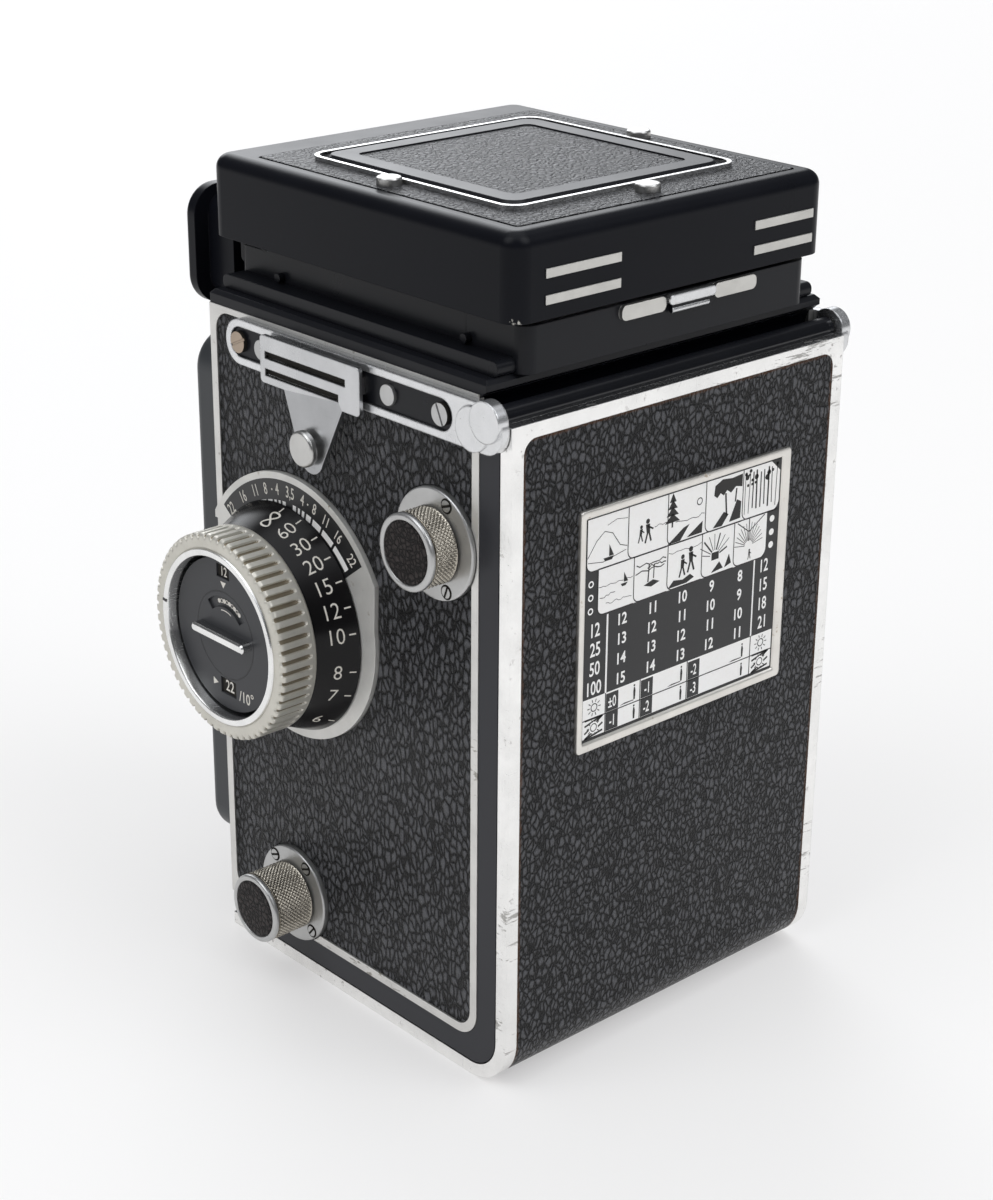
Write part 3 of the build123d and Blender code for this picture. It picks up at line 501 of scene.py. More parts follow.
# ---- materials ----------------------------------------------------------------------------------------
M_SIDE_LEATHER = leather("leather_sides", stretch=(1, 1, 0.55), cell=1.2)
M_DOOR_LEATHER = leather("leather_door", stretch=(1, 1, 0.66), cell=1.05, depth=0.0005, edge=(0.0, 36.3, 117.8))
M_LID_LEATHER = leather("leather_lid", stretch=(1, 0.8, 1), cell=1.05, dark=(0.010, 0.010, 0.011), tip=(0.055, 0.056, 0.062), depth=0.0004, spec=0.55, rough=0.38)
M_KNOB_LEATHER = leather("leather_knob_discs", cell=1.0, dark=(0.006, 0.005, 0.005), tip=(0.040, 0.033, 0.032), rough=0.5, depth=0.0003)
M_PAINT = paint("black_paint", color=(0.0085, 0.009, 0.0115), spec=0.18)
M_PAINT_BODY = paint("black_paint_body", color=(0.020, 0.021, 0.026), spec=0.28, rough=0.34)
M_PAINT_LID = paint("black_paint_lid", marks=[((35.6, 35.6, 135.2), 2.2), ((34.8, 35.8, 135.1), 1.6)], color=(0.0055, 0.006, 0.0085), rough=0.30, spec=0.10)
M_PAINT_GLOSS = paint("black_paint_gloss", color=(0.003, 0.0035, 0.0055), rough=0.12, spec=0.5, orange=0.05, dust=0.35)
M_PAINT_FRONT = paint("grey_black_paint_front", color=(0.030, 0.033, 0.037), rough=0.42, spec=0.4)
M_DIAL_BLACK = paint("dial_black", color=(0.036, 0.037, 0.041), rough=0.42, spec=0.35, orange=0.2, dust=0.2)
M_SKIRT_BLACK = paint("scale_black", color=(0.006, 0.0055, 0.006), rough=0.2, spec=0.2, orange=0.05, dust=0.3)
M_WELL = paint("finder_interior_black", color=(0.008, 0.008, 0.008), rough=0.75, spec=0.2, dust=0.1)
M_CHROME = metal("chrome_bright", (0.86, 0.86, 0.85), 0.17, rvar=0.05, wear=0.4, pits=1.0)
M_CHROME_DOOR = metal("chrome_back_worn", (0.93, 0.925, 0.91), 0.24, rvar=0.07, wear=1.0, pits=1.0, tint=(0.32, 0.31, 0.29), scratch=0.2,
                      spots=[((-33, 38, 119.5), 7.0), ((-24, 38.6, 119.2), 8.0), ((-12, 38.6, 119), 8.0), ((-37, 38.5, 112), 6.0), ((-37.5, 37.5, 60), 9.0), ((-37.5, 37.5, 20), 10.0), ((37.6, 38, 30), 9.0), ((37.6, 38, 12), 8.0), ((20, 38.9, 118.5), 5.0)])
M_TRIM = metal("trim_satin", (0.72, 0.71, 0.685), 0.36, met=0.75, rvar=0.08, wear=0.6, pits=1.0, tint=(0.28, 0.26, 0.22), scratch=0.2,
               spots=[((39, -20, 7.3), 14.0), ((39, 5, 7.3), 12.0), ((39, 31.5, 60), 8.0)])
M_NICKEL = metal("satin_nickel_ring", (0.66, 0.64, 0.575), 0.42, rvar=0.05, scratch=0.12, dirt=0.12, tint=(0.36, 0.28, 0.18), met=0.55)
# painted shade: darker nickel for the bottoms of the focus ring grooves, with some dirt mixed in
M_NICKEL_GROOVE_SHADE = metal("satin_nickel_groove_shade", (0.30, 0.26, 0.19), 0.45, met=0.6, rvar=0.05, scratch=0.1, dirt=0.35, tint=(0.22, 0.16, 0.08))
M_KNURL = metal("knurled_nickel", (0.50, 0.465, 0.40), 0.24, rvar=0.05, scratch=0.05, dirt=0.3, tint=(0.16, 0.11, 0.05))
M_STEEL = metal("brushed_steel", (0.66, 0.655, 0.64), 0.30, rvar=0.06, brushed=(300, 300, 4000), scratch=0.15, wear=0.3, pits=1.0)
M_BAR = metal("strap_bar_chrome", (0.74, 0.745, 0.755), 0.24, rvar=0.08, wear=0.5, pits=1.0, scratch=0.2, edge_r=0.0004, met=0.9)
M_STRAP = metal("strap_plate_chrome", (0.60, 0.605, 0.615), 0.28, rvar=0.10, wear=0.4, pits=1.0, scratch=0.25, edge_r=0.0003)
# painted shade: a darker copy of the strap plate chrome for the lower tail of each plate
M_STRAP_TAIL = metal("strap_plate_tail", (0.44, 0.445, 0.455), 0.32, rvar=0.12, wear=0.4, pits=1.0, scratch=0.25)
M_STUD = metal("stud_steel", (0.58, 0.575, 0.56), 0.30, rvar=0.08, wear=0.3, pits=1.0, scratch=0.2, edge_r=0.0003)
M_BRONZE = metal("screw_bronze", (0.42, 0.34, 0.27), 0.36, rvar=0.08, scratch=0.2)
M_DOF = metal("depth_scale_plate", (0.74, 0.73, 0.70), 0.40, rvar=0.08, wear=0.4, pits=1.0, scratch=0.15, met=0.45)
M_PLATE = metal("satin_plate", (0.52, 0.52, 0.515), 0.32, met=0.8, rvar=0.08, scratch=0.2, wear=0.3, pits=1.0)
M_ALU = metal("aluminium_bars", (0.66, 0.65, 0.62), 0.42, rvar=0.05, brushed=(220, 4000, 4000), scratch=0.1, bump=0.3)
M_TABLE_FRAME = metal("table_frame", (0.80, 0.775, 0.73), 0.34, rvar=0.06, wear=0.8, pits=1.0, tint=(0.36, 0.26, 0.15), scratch=0.15)
M_GLASS = glass("lens_glass")
M_SCREEN = glass("ground_glass", (0.96, 0.97, 0.96), 0.35)
M_MIRROR = metal("mirror", (0.92, 0.93, 0.93), 0.03, rvar=0.01, scratch=0.02, bump=0.02)
M_PLASTIC = paint("black_plastic", color=(0.010, 0.010, 0.010), rough=0.5, spec=0.4, dust=0.1)
M_CELL = ink("selenium_cell", (0.75, 0.72, 0.62), 0.25, 0.1, 0.5)
M_WHITE = ink("white_print", (0.95, 0.94, 0.925), 0.42, 0.12, 0.4, to=(0.72, 0.64, 0.52))
M_BLACK_PRINT = ink("black_print", (0.014, 0.014, 0.015), 0.36, 0.3, 0.45, to=(0.03, 0.03, 0.032))
M_LINE = ink("line_print", (0.02, 0.019, 0.018), 0.45, 0.2, 0.3, to=(0.05, 0.045, 0.04))
M_CREAM = ink("scale_cream", (0.78, 0.75, 0.69), 0.5, 0.3, 0.3, to=(0.45, 0.38, 0.28))
# dark colour: painted shade in the screw slots, round the screw heads and behind the strap plate slots; it is also the
# floor of the dial windows
M_SLOT = paint("screw_slot_dark", color=(0.02, 0.018, 0.015), rough=0.7, spec=0.2, dust=0.0)


def dress(node, first, *rules):
    """Gives a CAD node its material; each rule is (material, test on a face's centre in mm and its normal)."""
    ob = NODE[node]
    me = ob.data
    me.materials.clear()
    me.materials.append(first)
    if not rules:
        return
    n = len(me.polygons)
    c = np.zeros(n * 3)
    nm = np.zeros(n * 3)
    me.polygons.foreach_get("center", c)
    me.polygons.foreach_get("normal", nm)
    c, nm = c.reshape(-1, 3) / MM, nm.reshape(-1, 3)
    idx = np.zeros(n, np.int32)
    for i, (m, test) in enumerate(rules):
        me.materials.append(m)
        idx[test(c[:, 0], c[:, 1], c[:, 2], nm)] = i + 1
    me.polygons.foreach_set("material_index", idx)
    me.update()


def around(y, z, cy_, cz_):
    return np.hypot(y - cy_, z - cz_)


dress("body_casting", M_PAINT_BODY, (M_PAINT_GLOSS, lambda x, y, z, n: (z > 119.0) & (y > 28)))
dress("top_plate", M_PAINT, (M_WELL, lambda x, y, z, n: (np.abs(x) < 30.1) & (y < 21.1) & (y > -37.1)))
dress("focusing_screen", M_SCREEN)
dress("reflex_mirror", M_MIRROR)
dress("body_trim", M_TRIM)
dress("body_leather", M_SIDE_LEATHER, (M_PAINT_FRONT, lambda x, y, z, n: y < -38.15))
dress("strap_bars", M_BAR)
dress("strap_bar_insets", M_PAINT)
# painted shade: the lower tail of each strap plate takes the darker tail chrome
for plate in ("left_strap_plate", "right_strap_plate"):
    dress(plate, M_STRAP, (M_STRAP_TAIL, lambda x, y, z, n: (z < 114.55) & (np.abs(x) < 42.25)), (M_STUD, lambda x, y, z, n: (z < 112) & (np.abs(x) > 42.3)))
# painted shade: the recessed faces of the side screws (slots and the gaps round the heads) take the dark slot colour;
# the bronze screw colour is the screws' own
dress("side_screws", M_PLATE, (M_BRONZE, lambda x, y, z, n: (y < -26) & (z > 115)),
      (M_SLOT, lambda x, y, z, n: ((z > 115) & (np.abs(x) < 40.6) & (around(y, z, -22.3, 119.3) > 1.9) & (around(y, z, 11.2, 119.4) > 1.9)) | ((z < 115) & (np.abs(x) < 39.9))))
dress("knob_base_plates", M_PLATE)
dress("depth_of_field_plate", M_DOF)
dress("frame_counter", M_CHROME, (M_DIAL_BLACK, lambda x, y, z, n: (around(y, z, 17, 93) < 4.5) & (x > -39.05)), (M_GLASS, lambda x, y, z, n: (around(y, z, 17, 93) < 4.7) & (x < -39.05)))
dress("tripod_bridge", M_STEEL)
dress("pivot_pins", M_STEEL)
dress("meter_housing", M_PAINT_LID)
dress("meter_cell_window", M_CELL)
dress("hood_base", M_PAINT, (M_ALU, lambda x, y, z, n: y > 35.02), (M_WELL, lambda x, y, z, n: (np.abs(x) < 31.5) & (y < 33.7) & (y > -37.3)))
dress("hood_rails", M_PAINT)
dress("lens_standard", M_PAINT_FRONT)
dress("standard_face_leather", M_SIDE_LEATHER)
dress("shutter_housing", M_PLATE, (M_PAINT, lambda x, y, z, n: (around(x, z, 0, 48) < 11.0)))
dress("taking_lens_barrel", M_PAINT)
dress("viewing_lens_barrel", M_PAINT)
dress("lens_bayonets", M_CHROME)
dress("lens_elements", M_GLASS)
dress("readout_housing", M_PLATE, (M_DIAL_BLACK, lambda x, y, z, n: (np.abs(x) < 6.95) & (y < -59.9) & (z > 110.25) & (z < 112.95)))
dress("front_fittings", M_CHROME)
dress("aperture_wheel", M_NICKEL)
dress("speed_wheel", M_NICKEL)
dress("release_button", M_CHROME)
dress("selftimer_lever", M_CHROME)
dress("focus_scale_skirt", M_SKIRT_BLACK)
dress("film_reminder_dial", M_DIAL_BLACK)
dress("dial_handle", M_CHROME)
dress("takeup_spool", M_PLASTIC)
dress("supply_spool", M_PLASTIC)
dress("upper_film_roller", M_STEEL)
dress("lower_film_roller", M_STEEL)
dress("film_crank", M_CHROME)
dress("crank_grip", M_PLASTIC)
dress("back_door", M_CHROME_DOOR,
      (M_PAINT_GLOSS, lambda x, y, z, n: around(y, z, 35.0, 120.8) < 2.1),
      (M_PAINT, lambda x, y, z, n: ((np.abs(x) < 38.85) & (y < 36.45) & (z > 2.4) & (n[:, 1] < 0.5) & (np.abs(n[:, 0]) < 0.5)) | ((z < 0.95) & (np.hypot(x, y) < 11.4))))
dress("door_leather", M_DOOR_LEATHER)
dress("pressure_plate", M_STEEL)
dress("door_latch", M_CHROME)
dress("lid_shell", M_PAINT_LID)
dress("lid_leather", M_LID_LEATHER)
dress("sports_finder_frame", M_PAINT)
dress("lid_bright_trim", M_CHROME, (M_STUD, lambda x, y, z, n: (around(x, y, 28.4, -2.5) < 2.3) | (around(x, y, -29.4, -2.8) < 2.3) | (around(x, y, -0.5, 27.9) < 2.3)), (M_ALU, lambda x, y, z, n: y > 35.7))
dress("magnifier_frame", M_PAINT)
dress("magnifier_lens", M_GLASS)
for leaf in ("left_hood_leaf", "right_hood_leaf", "rear_hood_leaf"):
    dress(leaf, M_WELL)
dress("hood_catch", M_BAR, (M_PAINT, lambda x, y, z, n: (y < 35.85) & (z < 132.52)))


# ---- focusing knob: grooved ring ----------------------------------------------------------------------
def ring_piece():
    x0, x1 = low("focus_grip_ring").x, 54.6
    nseg, groove = 960, 60
    rings = []
    # back face, outer wall in fine steps, rounded front edge, face, rim and inner wall
    rings += [(50.9, 14.02, 0), (x0, 14.1, 0), (x0, 17.9, 0), (x0 + 0.12, 18.25, 0), (x0 + 0.4, 18.5, 0), (x0 + 0.75, 18.6, 0)]
    for x in np.linspace(48.3, 49.6, 9):
        rings.append((float(x), 18.6, 0))
    for x in np.linspace(49.8, 53.6, 12):
        rings.append((float(x), 18.6, 0))
    for i in range(7):
        a = math.pi / 2 * i / 6
        rings.append((x1 - 0.7 + 0.7 * math.sin(a), 18.6 - 0.7 + 0.7 * math.cos(a), 0))
    rings += [(x1, 17.2, 0), (x1, 16.15, 0), (x1 - 0.12, 16.02, 0), (x1, 15.95, 1), (x1 + 0.28, 15.85, 1), (x1 + 0.35, 15.6, 1), (x1 + 0.35, 15.0, 1), (x1 + 0.22, 14.75, 1), (x1 - 0.1, 14.62, 1), (53.0, 14.45, 1), (52.2, 14.3, 1), (50.9, 14.02, 1)]

    def disp(x, ang, i):
        r0 = rings[i][1]
        if r0 < 17.1:
            return np.zeros_like(ang)
        ph = (ang * groove / (2 * math.pi)) % 1.0
        d = np.abs(ph - 0.5) * 2            # 0 in the middle of a groove, 1 in the middle of a land
        w = 0.46
        prof = np.clip(1 - (d / w) ** 2, 0, 1) ** 0.5
        start = np.clip((x - 48.35) / 1.15, 0, 1)
        tip = np.clip(1 - ((1 - start) ** 2 + (d / w) ** 2 * 1.0), 0, 1) ** 0.5 if x < 49.5 else prof
        land = -0.07 * np.clip((d - 0.75) / 0.25, 0, 1) * 0
        depth = 0.62
        return -(depth * (tip if x < 49.5 else prof)) * (1.0 if x > 48.35 else 0.0) + land

    ob = revolve("focus_ring_grooved", FOC_Y, FOC_Z, rings, nseg, "focus_knob", [M_NICKEL, M_CHROME, M_NICKEL_GROOVE_SHADE], disp=disp)
    # painted shade: the bottoms of the grooves get the darker groove material
    me = ob.data
    for p in me.polygons:
        c = p.center / MM
        r = math.hypot(c.y - FOC_Y, c.z - FOC_Z)
        if p.material_index == 0 and r < 18.28 and 48.4 < c.x < 54.2 and r > 17.3:
            p.material_index = 2
    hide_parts("focus_grip_ring")
    return ob


ring_piece()


# ---- spool knobs with diamond knurl -------------------------------------------------------------------
def knob_piece(name, node, cy_, cz_):
    hi = high(node)
    x1 = hi.x - (0.1 if node == "upper_spool_knob" else 0.2)
    r = (high(node).y - low(node).y) / 2
    rings = [(28.9, 2.5, 2), (31.9, 2.5, 2), (31.9, 3.0, 2), (40.0, 3.0, 2), (40.0, r - 0.5, 0), (40.15, r - 0.25, 0)]
    ka, kb = 40.3, x1 - 1.15
    steps = int((kb - ka) / 0.078)
    for x in np.linspace(ka, kb, steps):
        rings.append((float(x), r, 0))
    rings += [(kb + 0.05, r - 0.3, 0), (kb + 0.18, r - 0.3, 0), (kb + 0.26, r - 0.02, 1), (x1 - 0.42, r, 1), (x1 - 0.2, r - 0.08, 1), (x1 - 0.05, r - 0.28, 1), (x1, r - 0.55, 1), (x1, 5.62, 1), (x1 - 0.06, 5.48, 1), (x1 - 0.18, 5.4, 1), (x1 - 0.55, 5.38, 1), (x1 - 0.56, 0.001, 1)]
    nk = 50
    pitch = 2 * math.pi * r / nk

    def disp(x, ang, i):
        if not (ka - 0.01 <= x <= kb + 0.01) or abs(rings[i][1] - r) > 1e-6:
            return np.zeros_like(ang)
        u = ang * nk / (2 * math.pi)
        v = (x - ka) / pitch * 1.05
        a = np.abs(((u + v) % 1.0) * 2 - 1)
        b_ = np.abs(((u - v) % 1.0) * 2 - 1)
        h = np.minimum(a, b_)
        h = np.clip(h * 1.25, 0, 1)
        fade = min(1.0, (x - ka) / 0.3, (kb - x) / 0.3)
        return -0.27 * (1 - h) * max(fade, 0.0) - 0.02

    ob = revolve(name, cy_, cz_, rings, nk * 9, "%s" % node, [M_KNURL, M_PLATE, M_STEEL], disp=disp)
    disc = [(x1 - 0.54, 5.36, 0), (x1 - 0.14, 5.34, 0), (x1 - 0.02, 5.22, 0), (x1 + 0.03, 4.9, 0)] + [(x1 + 0.03 + 0.05 * (1 - (q / 4.9) ** 2), q, 0) for q in (4.0, 3.0, 2.0, 1.0, 0.001)]
    d = revolve(name + "_leather_disc", cy_, cz_, disc, 96, node, [M_KNOB_LEATHER])
    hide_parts(node)
    return ob


knob_piece("upper_knob_knurled", "upper_spool_knob", UPK.y, UPK.z)
knob_piece("lower_knob_knurled", "lower_spool_knob", LOK.y, LOK.z)


# ---- focusing scale on the skirt ----------------------------------------------------------------------
CONE_X0, CONE_X1, CONE_R0, CONE_R1 = 39.85, 47.0, 21.0, 17.8
SLOPE = (CONE_R1 - CONE_R0) / (CONE_X1 - CONE_X0)
NL = math.hypot(1, SLOPE)


def on_cone(ang0):
    """(u, v) -> row frame: u runs inwards along the cone towards the body, v runs round the cone, upwards at the right."""

    def f(u, v, lift):
        x = 43.35 - u / NL
        r = CONE_R0 + SLOPE * (x - CONE_X0)
        a = ang0 - v / 19.4
        nx, nr = -SLOPE / NL, 1 / NL
        rr = r + (0.02 + lift) * nr
        return (x + (0.02 + lift) * nx, FOC_Y + rr * math.sin(a), FOC_Z + rr * math.cos(a))

    return f


sk = Print("focus_scale_numbers", "focus_knob", [M_CREAM], None)
SCALE = [("", 1.8, 3.3), ("60", 15.2, 16.7), ("30", 28.6, 29.7), ("20", 41.7, 41.9), ("15", 54.8, 54.6), ("12", 67.8, 67.4), ("10", 80.9, 80.5), ("8", 101.6, 100.4), ("7", 115.9, 115.1), ("6", 137.6, 137.3), ("5", 166.0, 166.0), ("4,5", 184.0, 184.0), ("4", 208.0, 208.0), ("3,5", 244.0, 244.0)]
for txt, an, at in SCALE:
    place = on_cone(math.radians(at))
    if txt:
        pts, tri = glyphs(txt, 2.75, 0.86, -0.006)
        q = pts.copy()
        q, tri2 = refine(q, tri, 0.55)
        sk.tris(q, tri2, 0, 0, place)
    else:
        n = 56
        pts = []
        for i in range(n):
            t = 2 * math.pi * i / n
            pts.append((1.75 * math.cos(t), 1.9 * math.sin(t) * math.cos(t) * 1.05))
        L = len(sk.v)
        for i in range(n):
            p0, p1 = Vector(pts[i - 1]), Vector(pts[(i + 1) % n])
            d = (p1 - p0).normalized()
            nn = Vector((-d.y, d.x)) * 0.19
            for s_ in (1, -1):
                c_ = Vector(pts[i]) + nn * s_
                sk.v.append(place(c_.x, c_.y, 0))
        for i in range(n):
            a_, b_ = L + 2 * i, L + 2 * ((i + 1) % n)
            sk.f.append((a_, a_ + 1, b_ + 1, b_))
            sk.mi.append(0)
    # index tick near the base
    for w0, w1, u0, u1 in ((-0.13, 0.13, 2.05, 3.25),):
        L = len(sk.v)
        sk.v += [place(u0, w0, 0), place(u1, w0, 0), place(u1, w1, 0), place(u0, w1, 0)]
        sk.f.append((L, L + 1, L + 2, L + 3))
        sk.mi.append(0)
ob = sk.make()

# ---- depth of field scale -----------------------------------------------------------------------------
DY, DZ = -16.8, 71.9
DX = high("depth_of_field_plate").x


def dof_place(u, v, lift):
    """u to the right seen from +X is towards +Y."""
    return (DX + 0.015 + lift, DY + u, DZ + v)


dof = Print("depth_of_field_print", "camera_body", [M_BLACK_PRINT, M_CREAM, M_WHITE], dof_place)
A0, A1 = -51.5, 52.5


def arc_band(pr, r0, r1, a0, a1, mat, lift, n=40):
    for i in range(n):
        t0, t1 = math.radians(a0 + (a1 - a0) * i / n), math.radians(a0 + (a1 - a0) * (i + 1) / n)
        pr.poly([(r0 * math.sin(t0), r0 * math.cos(t0)), (r1 * math.sin(t0), r1 * math.cos(t0)), (r1 * math.sin(t1), r1 * math.cos(t1)), (r0 * math.sin(t1), r0 * math.cos(t1))], mat, lift)


arc_band(dof, 18.9, 24.75, A0, A1, 0, 0.0, 60)
cuts = [2.0, 6.0, 9.1, 12.5, 17.6, 25.6, 36.0, 50.6]
for a_, b_ in zip(cuts[:-1], cuts[1:]):
    for s_ in (1, -1):
        lo_, hi_ = sorted((s_ * (a_ + 0.75), s_ * (b_ - 0.75)))
        arc_band(dof, 19.75, 21.0, lo_, hi_, 2, 0.02, 8)
for txt, a in (("22", -48.0), ("16", -35.6), ("11", -25.3), ("8", -17.2), ("4", -8.6), ("3,5", 0.6), ("4", 9.3), ("8", 17.8), ("11", 26.2), ("16", 36.0), ("22", 47.7)):
    t = math.radians(a)
    dof.text(txt, 22.95 * math.sin(t), 22.95 * math.cos(t), 2.15, 1, 0.02, sx=0.68, rot=-t * 0.92, bold=0.008)
for a in (-12.4, 13.2):
    t = math.radians(a)
    dof.disc(22.8 * math.sin(t), 22.8 * math.cos(t), 0.2, 1, 0.02, 10)
ob = dof.make()

# ---- film reminder dial -------------------------------------------------------------------------------
FX = high("film_reminder_dial").x


def dial_place(u, v, lift):
    return (FX + 0.02 + lift, FOC_Y + u, FOC_Z + v)


dl = Print("dial_print", "film_reminder", [M_CREAM, M_BLACK_PRINT, M_SLOT], dial_place)
dl.disc(0, 0, 8.09, 1, 0.0, 72, ri=7.97)
dl.rect(-1.85, 1.65, 10.65, 12.95, 2, -0.36)
dl.rect(-1.75, 2.55, -11.25, -8.35, 2, -0.36)
dl.text("12", -0.1, 11.7, 1.75, 0, -0.33, sx=0.8, bold=0.01)
dl.text("22", 0.35, -9.75, 2.1, 0, -0.33, sx=0.85, bold=0.01)
dl.text("/10", 5.0, -10.25, 2.1, 0, 0.0, sx=0.85, bold=0.01)
dl.disc(7.2, -9.3, 0.42, 0, 0.0, 16, ri=0.22)
# pointer marks beside the windows
dl.poly([(-0.9, 9.9), (0.7, 9.9), (-0.1, 8.75)], 0, 0.0)
dl.poly([(-2.6, -9.8), (-4.0, -9.1), (-4.0, -10.5)], 0, 0.0)
# curved window with a row of small marks
for a in (-24, -10, 4, 18, 32):
    t = math.radians(a + 6)
    dl.disc(6.15 * math.sin(t), 6.15 * math.cos(t), 0.42, 0, -0.35, 14)
for a in (-17, -3, 11, 25):
    t = math.radians(a + 6)
    dl.disc(6.15 * math.sin(t), 6.15 * math.cos(t), 0.42, 0, -0.35, 14, ri=0.27)
arc_pts = [(4.6 * math.sin(math.radians(a)), 4.6 * math.cos(math.radians(a))) for a in np.linspace(-12, 24, 12)]
dl.line(arc_pts, 0.18, 0, 0.0)
ob = dl.make()


def rim_place(u, v, lift):
    return (54.98 + lift, FOC_Y + u, FOC_Z + v)


rm = Print("ring_index_mark", "focus_knob", [M_BLACK_PRINT], rim_place)
t = math.radians(-80.5)
for (r0, r1) in ((14.7, 15.9),):
    c_, s_ = math.cos(t), math.sin(t)
    w = 0.28
    rm.poly([(r0 * s_ - w * c_, r0 * c_ + w * s_), (r1 * s_ - w * c_, r1 * c_ + w * s_), (r1 * s_ + w * c_, r1 * c_ - w * s_), (r0 * s_ + w * c_, r0 * c_ - w * s_)], 0, 0.0)
ob = rm.make()

# ---- painted shade: dark backs in the strap plate slots, dark gap rings and slot lines round the small screws ---
for side, nm in ((1, "left"), (-1, "right")):
    # painted shade: a dark sheet behind the two slots of each strap plate, where the bars behind lie in shade
    sb = Print(nm + "_strap_plate_slot_shade", "camera_body", [M_SLOT], lambda u, v, lift, side=side: (side * (41.44 + lift), u, v))
    sb.rect(-19.15, 2.35, 118.95, 120.15, 0, 0.0)
    sb.rect(-19.15, 0.55, 115.95, 117.15, 0, 0.0)
    sb.make()
PX = high("knob_base_plates").x
# painted shade: dark rings for the gaps round the small screw heads and dark lines for their slots
scr = Print("knob_plate_screw_gap_shade", "camera_body", [M_SLOT], lambda u, v, lift: (PX + 0.012 + lift, u, v))
for (u, v, a) in ((UPK.y + 3.2, UPK.z + 7.4, 25), (UPK.y + 3.2, UPK.z - 7.4, 70), (LOK.y + 4.2, LOK.z + 6.8, 25), (LOK.y + 5.6, LOK.z - 5.6, 50), (LOK.y - 5.0, LOK.z + 6.2, 25)):
    scr.disc(u, v, 1.32, 0, 0.0, 28, ri=1.02)
    c_, s_ = math.cos(math.radians(a)), math.sin(math.radians(a))
    scr.line([(u - 0.95 * c_, v - 0.95 * s_), (u + 0.95 * c_, v + 0.95 * s_)], 0.34, 0, 0.155)
scr.make()

# ---- exposure table on the back -----------------------------------------------------------------------
T_LO, T_HI = low("exposure_table"), high("exposure_table")
TY = T_HI.y                         # front face of the frame
PLATE_Y = TY - 0.40                 # face of the printed plate
U0, U1, V0, V1 = -T_HI.x, -T_LO.x, T_LO.z, T_HI.z          # outer frame, u to the right seen from behind
WU0, WU1, WV0, WV1 = 1.35, 2.15, 1.85, 1.6      # widths of the frame: left, right, bottom, top
IU0, IU1, IV0, IV1 = U0 + WU0, U1 - WU1, V0 + WV0, V1 - WV1


def frame_piece():
    """Bevelled bright frame: outer wall, outer bevel, flat, inner bevel, inner wall."""
    prof = [(0.0, TY - 0.78), (0.0, TY - 0.3), (0.055, TY - 0.1), (0.18, TY - 0.01), (0.46, TY), (0.74, TY - 0.02), (0.88, TY - 0.12), (0.97, TY - 0.34), (1.0, TY - 0.5)]
    verts, faces = [], []
    m = 5
    for d, y in prof:
        r = max(0.75 - d * 0.5, 0.25)
        ua, ub, va, vb = U0 + d * WU0, U1 - d * WU1, V0 + d * WV0, V1 - d * WV1
        for (cu, cv, a0) in ((ua + r, va + r, 180), (ub - r, va + r, 270), (ub - r, vb - r, 0), (ua + r, vb - r, 90)):
            for i in range(m):
                a = math.radians(a0 + 90 * i / (m - 1))
                verts.append((-(cu + r * math.cos(a)), y, cv + r * math.sin(a)))
    n = 4 * m
    for i in range(len(prof) - 1):
        for j in range(n):
            k = (j + 1) % n
            faces.append((i * n + j, (i + 1) * n + j, (i + 1) * n + k, i * n + k))
    ob = new_obj("exposure_table_frame", verts, faces, [M_TABLE_FRAME], None, True, "back_door")
    bm = bmesh.new()
    bm.from_mesh(ob.data)
    bmesh.ops.recalc_face_normals(bm, faces=bm.faces)
    for e in bm.edges:
        if len(e.link_faces) == 2 and e.calc_face_angle(0) > math.radians(40):
            e.smooth = False
    bm.to_mesh(ob.data)
    bm.free()
    return ob


tf = frame_piece()
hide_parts("exposure_table")


def table_place(u, v, lift):
    """u, v in the printed layout (-23.5..23.5 by 62..102), fitted to the frame's opening; seen from behind."""
    uu = IU0 + (u + 23.45) / 46.95 * (IU1 - IU0)
    vv = IV0 + (v - 61.9) / 40.0 * (IV1 - IV0)
    return (-uu, PLATE_Y + 0.01 + lift, vv)


tb = Print("exposure_table_print", "back_door", [M_BLACK_PRINT, M_WHITE, M_LINE], table_place)
B, W, K = 0, 1, 2
tb.rect(-23.6, 23.6, 61.8, 102.0, B, 0.0)
L1, L2, L3 = 0.02, 0.035, 0.05
# white area of the two rows of pictures
tb.rect(-23.2, 23.2, 92.5, 101.7, W, L1, r=(1.6, 1.8, 0.0, 0.0))
tb.rect(-20.5, 20.4, 84.3, 92.6, W, L1, r=(1.5, 1.7, 0.0, 0.0))
tb.poly([(20.9, 101.75), (23.25, 101.75), (23.25, 99.6)], B, L2)
# cell borders
for u0, u1 in ((-23.2, -13.8), (-13.8, -4.55), (-4.55, 4.6), (4.6, 13.8), (13.8, 23.2)):
    pts = [(u0 + 0.05, 101.7), (u0 + 0.05, 94.0)] + [(u0 + 1.45 - 1.4 * math.cos(t), 93.9 - 1.4 * math.sin(t)) for t in np.linspace(0, math.pi / 2, 7)] + [(u1, 92.5)]
    tb.line(pts, 0.2, K, L2)
for u0, u1 in ((-20.5, -12.2), (-12.2, -4.25), (-4.25, 4.1), (4.1, 12.1), (12.1, 20.4)):
    pts = [(u0 + 0.05, 92.5), (u0 + 0.05, 85.8)] + [(u0 + 1.35 - 1.3 * math.cos(t), 85.6 - 1.3 * math.sin(t)) for t in np.linspace(0, math.pi / 2, 7)] + [(u1, 84.3)]
    tb.line(pts, 0.2, K, L2)
tb.line([(-20.5, 92.55), (23.0, 92.55)], 0.22, K, L2)


def wavy(u0, u1, v, amp, n, seed, w=0.13):
    g = np.random.default_rng(seed)
    pts = [(u0 + (u1 - u0) * i / n, v + amp * float(g.uniform(-1, 1))) for i in range(n + 1)]
    tb.line(pts, w, K, L2)


